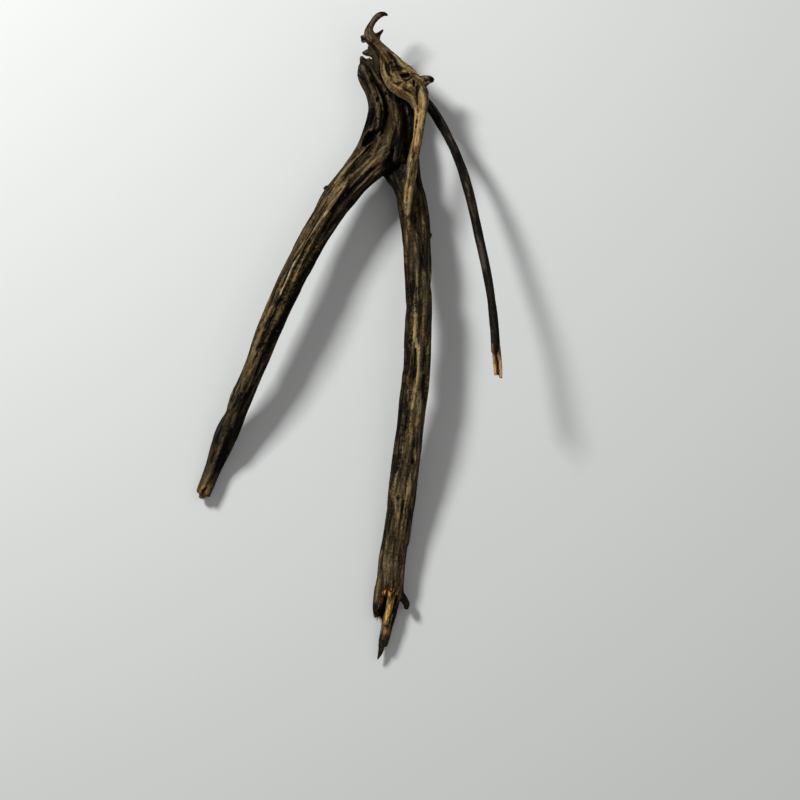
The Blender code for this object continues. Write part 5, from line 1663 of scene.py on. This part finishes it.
@dataclass(frozen=True)
class Reach:
    """A stretch of the root, by its limits in x and y, in mm."""

    name: str
    left: float
    right: float
    lower: float
    upper: float

    def holds(self, middles: Array) -> Array:
        """Whether each point lies in the stretch."""
        x, y = middles[:, 0], middles[:, 1]
        return (x > self.left) & (x < self.right) & (y > self.lower) & (y < self.upper)


class Piece(Enum):
    """The pieces that the skin is cut into. The peeled root is told by its layer, not by a stretch."""

    CROWN = Reach("root_crown", -200.0, 200.0, 40.0, 200.0)
    LEFT_LEG = Reach("root_left_leg", -200.0, 8.0, -200.0, 60.0)
    CENTRE_LEG = Reach("root_centre_leg", 8.0, 50.0, -200.0, 55.0)
    SIDE_ROOT = Reach("root_side_root", 42.5, 200.0, -200.0, 200.0)
    PEELED_ROOT = Reach("root_peeled_root", 0.0, 0.0, 0.0, 0.0)


@dataclass
class LimbMap:
    """Which limb each point is on: its place on the limb, the limb's size, and every limb's share."""

    course: Array
    size: Array
    sure: Array
    share: Array
    overlay: Array

    FAR: ClassVar[float] = 9.0
    MARGIN: ClassVar[float] = 2.2
    COURSE_STEP: ClassVar[float] = 0.37
    SHARPNESS: ClassVar[float] = 12.0

    @classmethod
    def of(cls, points: Array, rings: Sequence[Rings]) -> "LimbMap":
        """Finds each point's limb.

        Args:
            points: Rows of x, y and z.
            rings: The rings of each limb.

        Returns:
            The map.
        """
        far = np.full((len(points), len(rings)), cls.FAR, np.float32)
        course = np.zeros((len(points), 3), np.float32)
        size = np.full(len(points), MM, np.float32)
        best = np.full(len(points), cls.FAR, np.float32)
        for number, ring in enumerate(rings):
            margin = cls.MARGIN * ring.half.max()
            low, high = ring.middle.min(0) - margin, ring.middle.max(0) + margin
            inside = np.flatnonzero(((points > low) & (points < high)).all(axis=1))
            for chunk in np.array_split(inside, max(1, len(inside) // ROWS_AT_ONCE)):
                if not len(chunk):
                    continue
                away = points[chunk, None, :] - ring.middle[None, :, :]
                reach = np.sqrt((away**2).sum(-1)) / ring.half.max(axis=1)
                row = reach.argmin(axis=1)
                here = np.arange(len(chunk))
                value = reach[here, row]
                far[chunk, number] = value
                nearer = value < best[chunk]
                picked, spot = chunk[nearer], row[nearer]
                gap = away[here, row][nearer]
                course[picked, 0] = (gap * ring.side[spot]).sum(1)
                course[picked, 1] = (gap * ring.front[spot]).sum(1)
                ahead = ring.along[spot] + (gap * ring.heading[spot]).sum(1)
                course[picked, 2] = ahead + cls.COURSE_STEP * number
                size[picked] = ring.half[spot].max(axis=1)
                best[picked] = value[nearer]
        ordered = np.partition(far, 1, axis=1)
        sure = 0.35 + 0.65 * smoothstep(0.02, 0.22, ordered[:, 1] - ordered[:, 0])
        share = np.exp(-cls.SHARPNESS * (far - best[:, None]))
        share /= share.sum(axis=1, keepdims=True)
        over = np.array([limb.layer is Layer.OVERLAY for limb in LIMBS], float)
        return cls(course, size, sure, share, smoothstep(0.3, 0.7, share @ over))


@dataclass
class Studio:
    """The floor, the light and the camera that looks down on the root."""

    camera_x: float = 24.44 * MM
    camera_y: float = -29.44 * MM
    camera_height: float = 1.516
    field_width: float = 0.376
    field_distance: float = 1.5
    sight: float = 20.0
    sensor: float = 36.0
    floor_size: float = 3.0
    floor_gap: float = 0.1 * MM
    floor_colour: Colour = (0.66, 0.675, 0.665)
    floor_roughness: float = 0.85
    air_colour: Colour = (1.0, 0.995, 0.98)
    air_strength: float = 0.23

    def build(self) -> None:
        """Sets the studio up."""
        self._camera()
        self._floor()
        self._light("key", (-0.62, 0.66, 0.74), size=0.24, power=15.5)
        self._light("fill", (0.55, 0.10, 1.05), size=0.8, power=1.6)
        bpy.context.scene.view_settings.view_transform = "Standard"
        world = bpy.data.worlds.new("studio_air")
        bpy.context.scene.world = world
        world.use_nodes = True
        background = world.node_tree.nodes["Background"]
        background.inputs["Color"].default_value = (*self.air_colour, 1.0)
        background.inputs["Strength"].default_value = self.air_strength

    def _camera(self) -> None:
        """A long lens straight above the root."""
        data = bpy.data.cameras.new("camera")
        data.sensor_width = self.sensor
        data.lens = self.sensor * self.field_distance / self.field_width
        data.clip_end = self.sight
        camera = put_in_scene("camera", data)
        camera.location = (self.camera_x, self.camera_y, self.camera_height)
        bpy.context.scene.camera = camera

    def _floor(self) -> None:
        """A plain pale floor."""
        half = self.floor_size / 2.0
        mesh = bpy.data.meshes.new("floor")
        corners = [(-half, -half, 0.0), (half, -half, 0.0), (half, half, 0.0), (-half, half, 0.0)]
        mesh.from_pydata(corners, [], [(0, 1, 2, 3)])
        floor = put_in_scene("floor", mesh)
        floor.location.z = -self.floor_gap
        material, shader = new_material("pale_floor")
        shader.inputs["Base Color"].default_value = (*self.floor_colour, 1.0)
        shader.inputs["Roughness"].default_value = self.floor_roughness
        mesh.materials.append(material)

    def _light(self, name: str, place: Colour, size: float, power: float) -> None:
        """A square soft light that faces the root's middle."""
        data = bpy.data.lights.new(name, "AREA")
        data.size = size
        data.energy = power
        light = put_in_scene(name, data)
        light.location = place
        light.rotation_euler = (-Vector(place)).to_track_quat("-Z", "Y").to_euler()


def hand_over(pieces: Iterable[bpy.types.Object]) -> None:
    """Ties the pieces to the body and logs their faces."""
    for piece in pieces:
        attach(piece, BODY)
        LOG.info("%s: %d faces", piece.name, len(piece.data.polygons))


def main() -> None:
    """Builds the root and its studio."""
    logging.basicConfig(level=logging.INFO, format="%(message)s")
    Studio().build()
    wood = WeatheredWood().material()
    pieces = RootSkin(wood).build()
    hand_over(pieces)
    for piece in pieces:
        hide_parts(NODE)


if __name__ == "__main__":
    main()
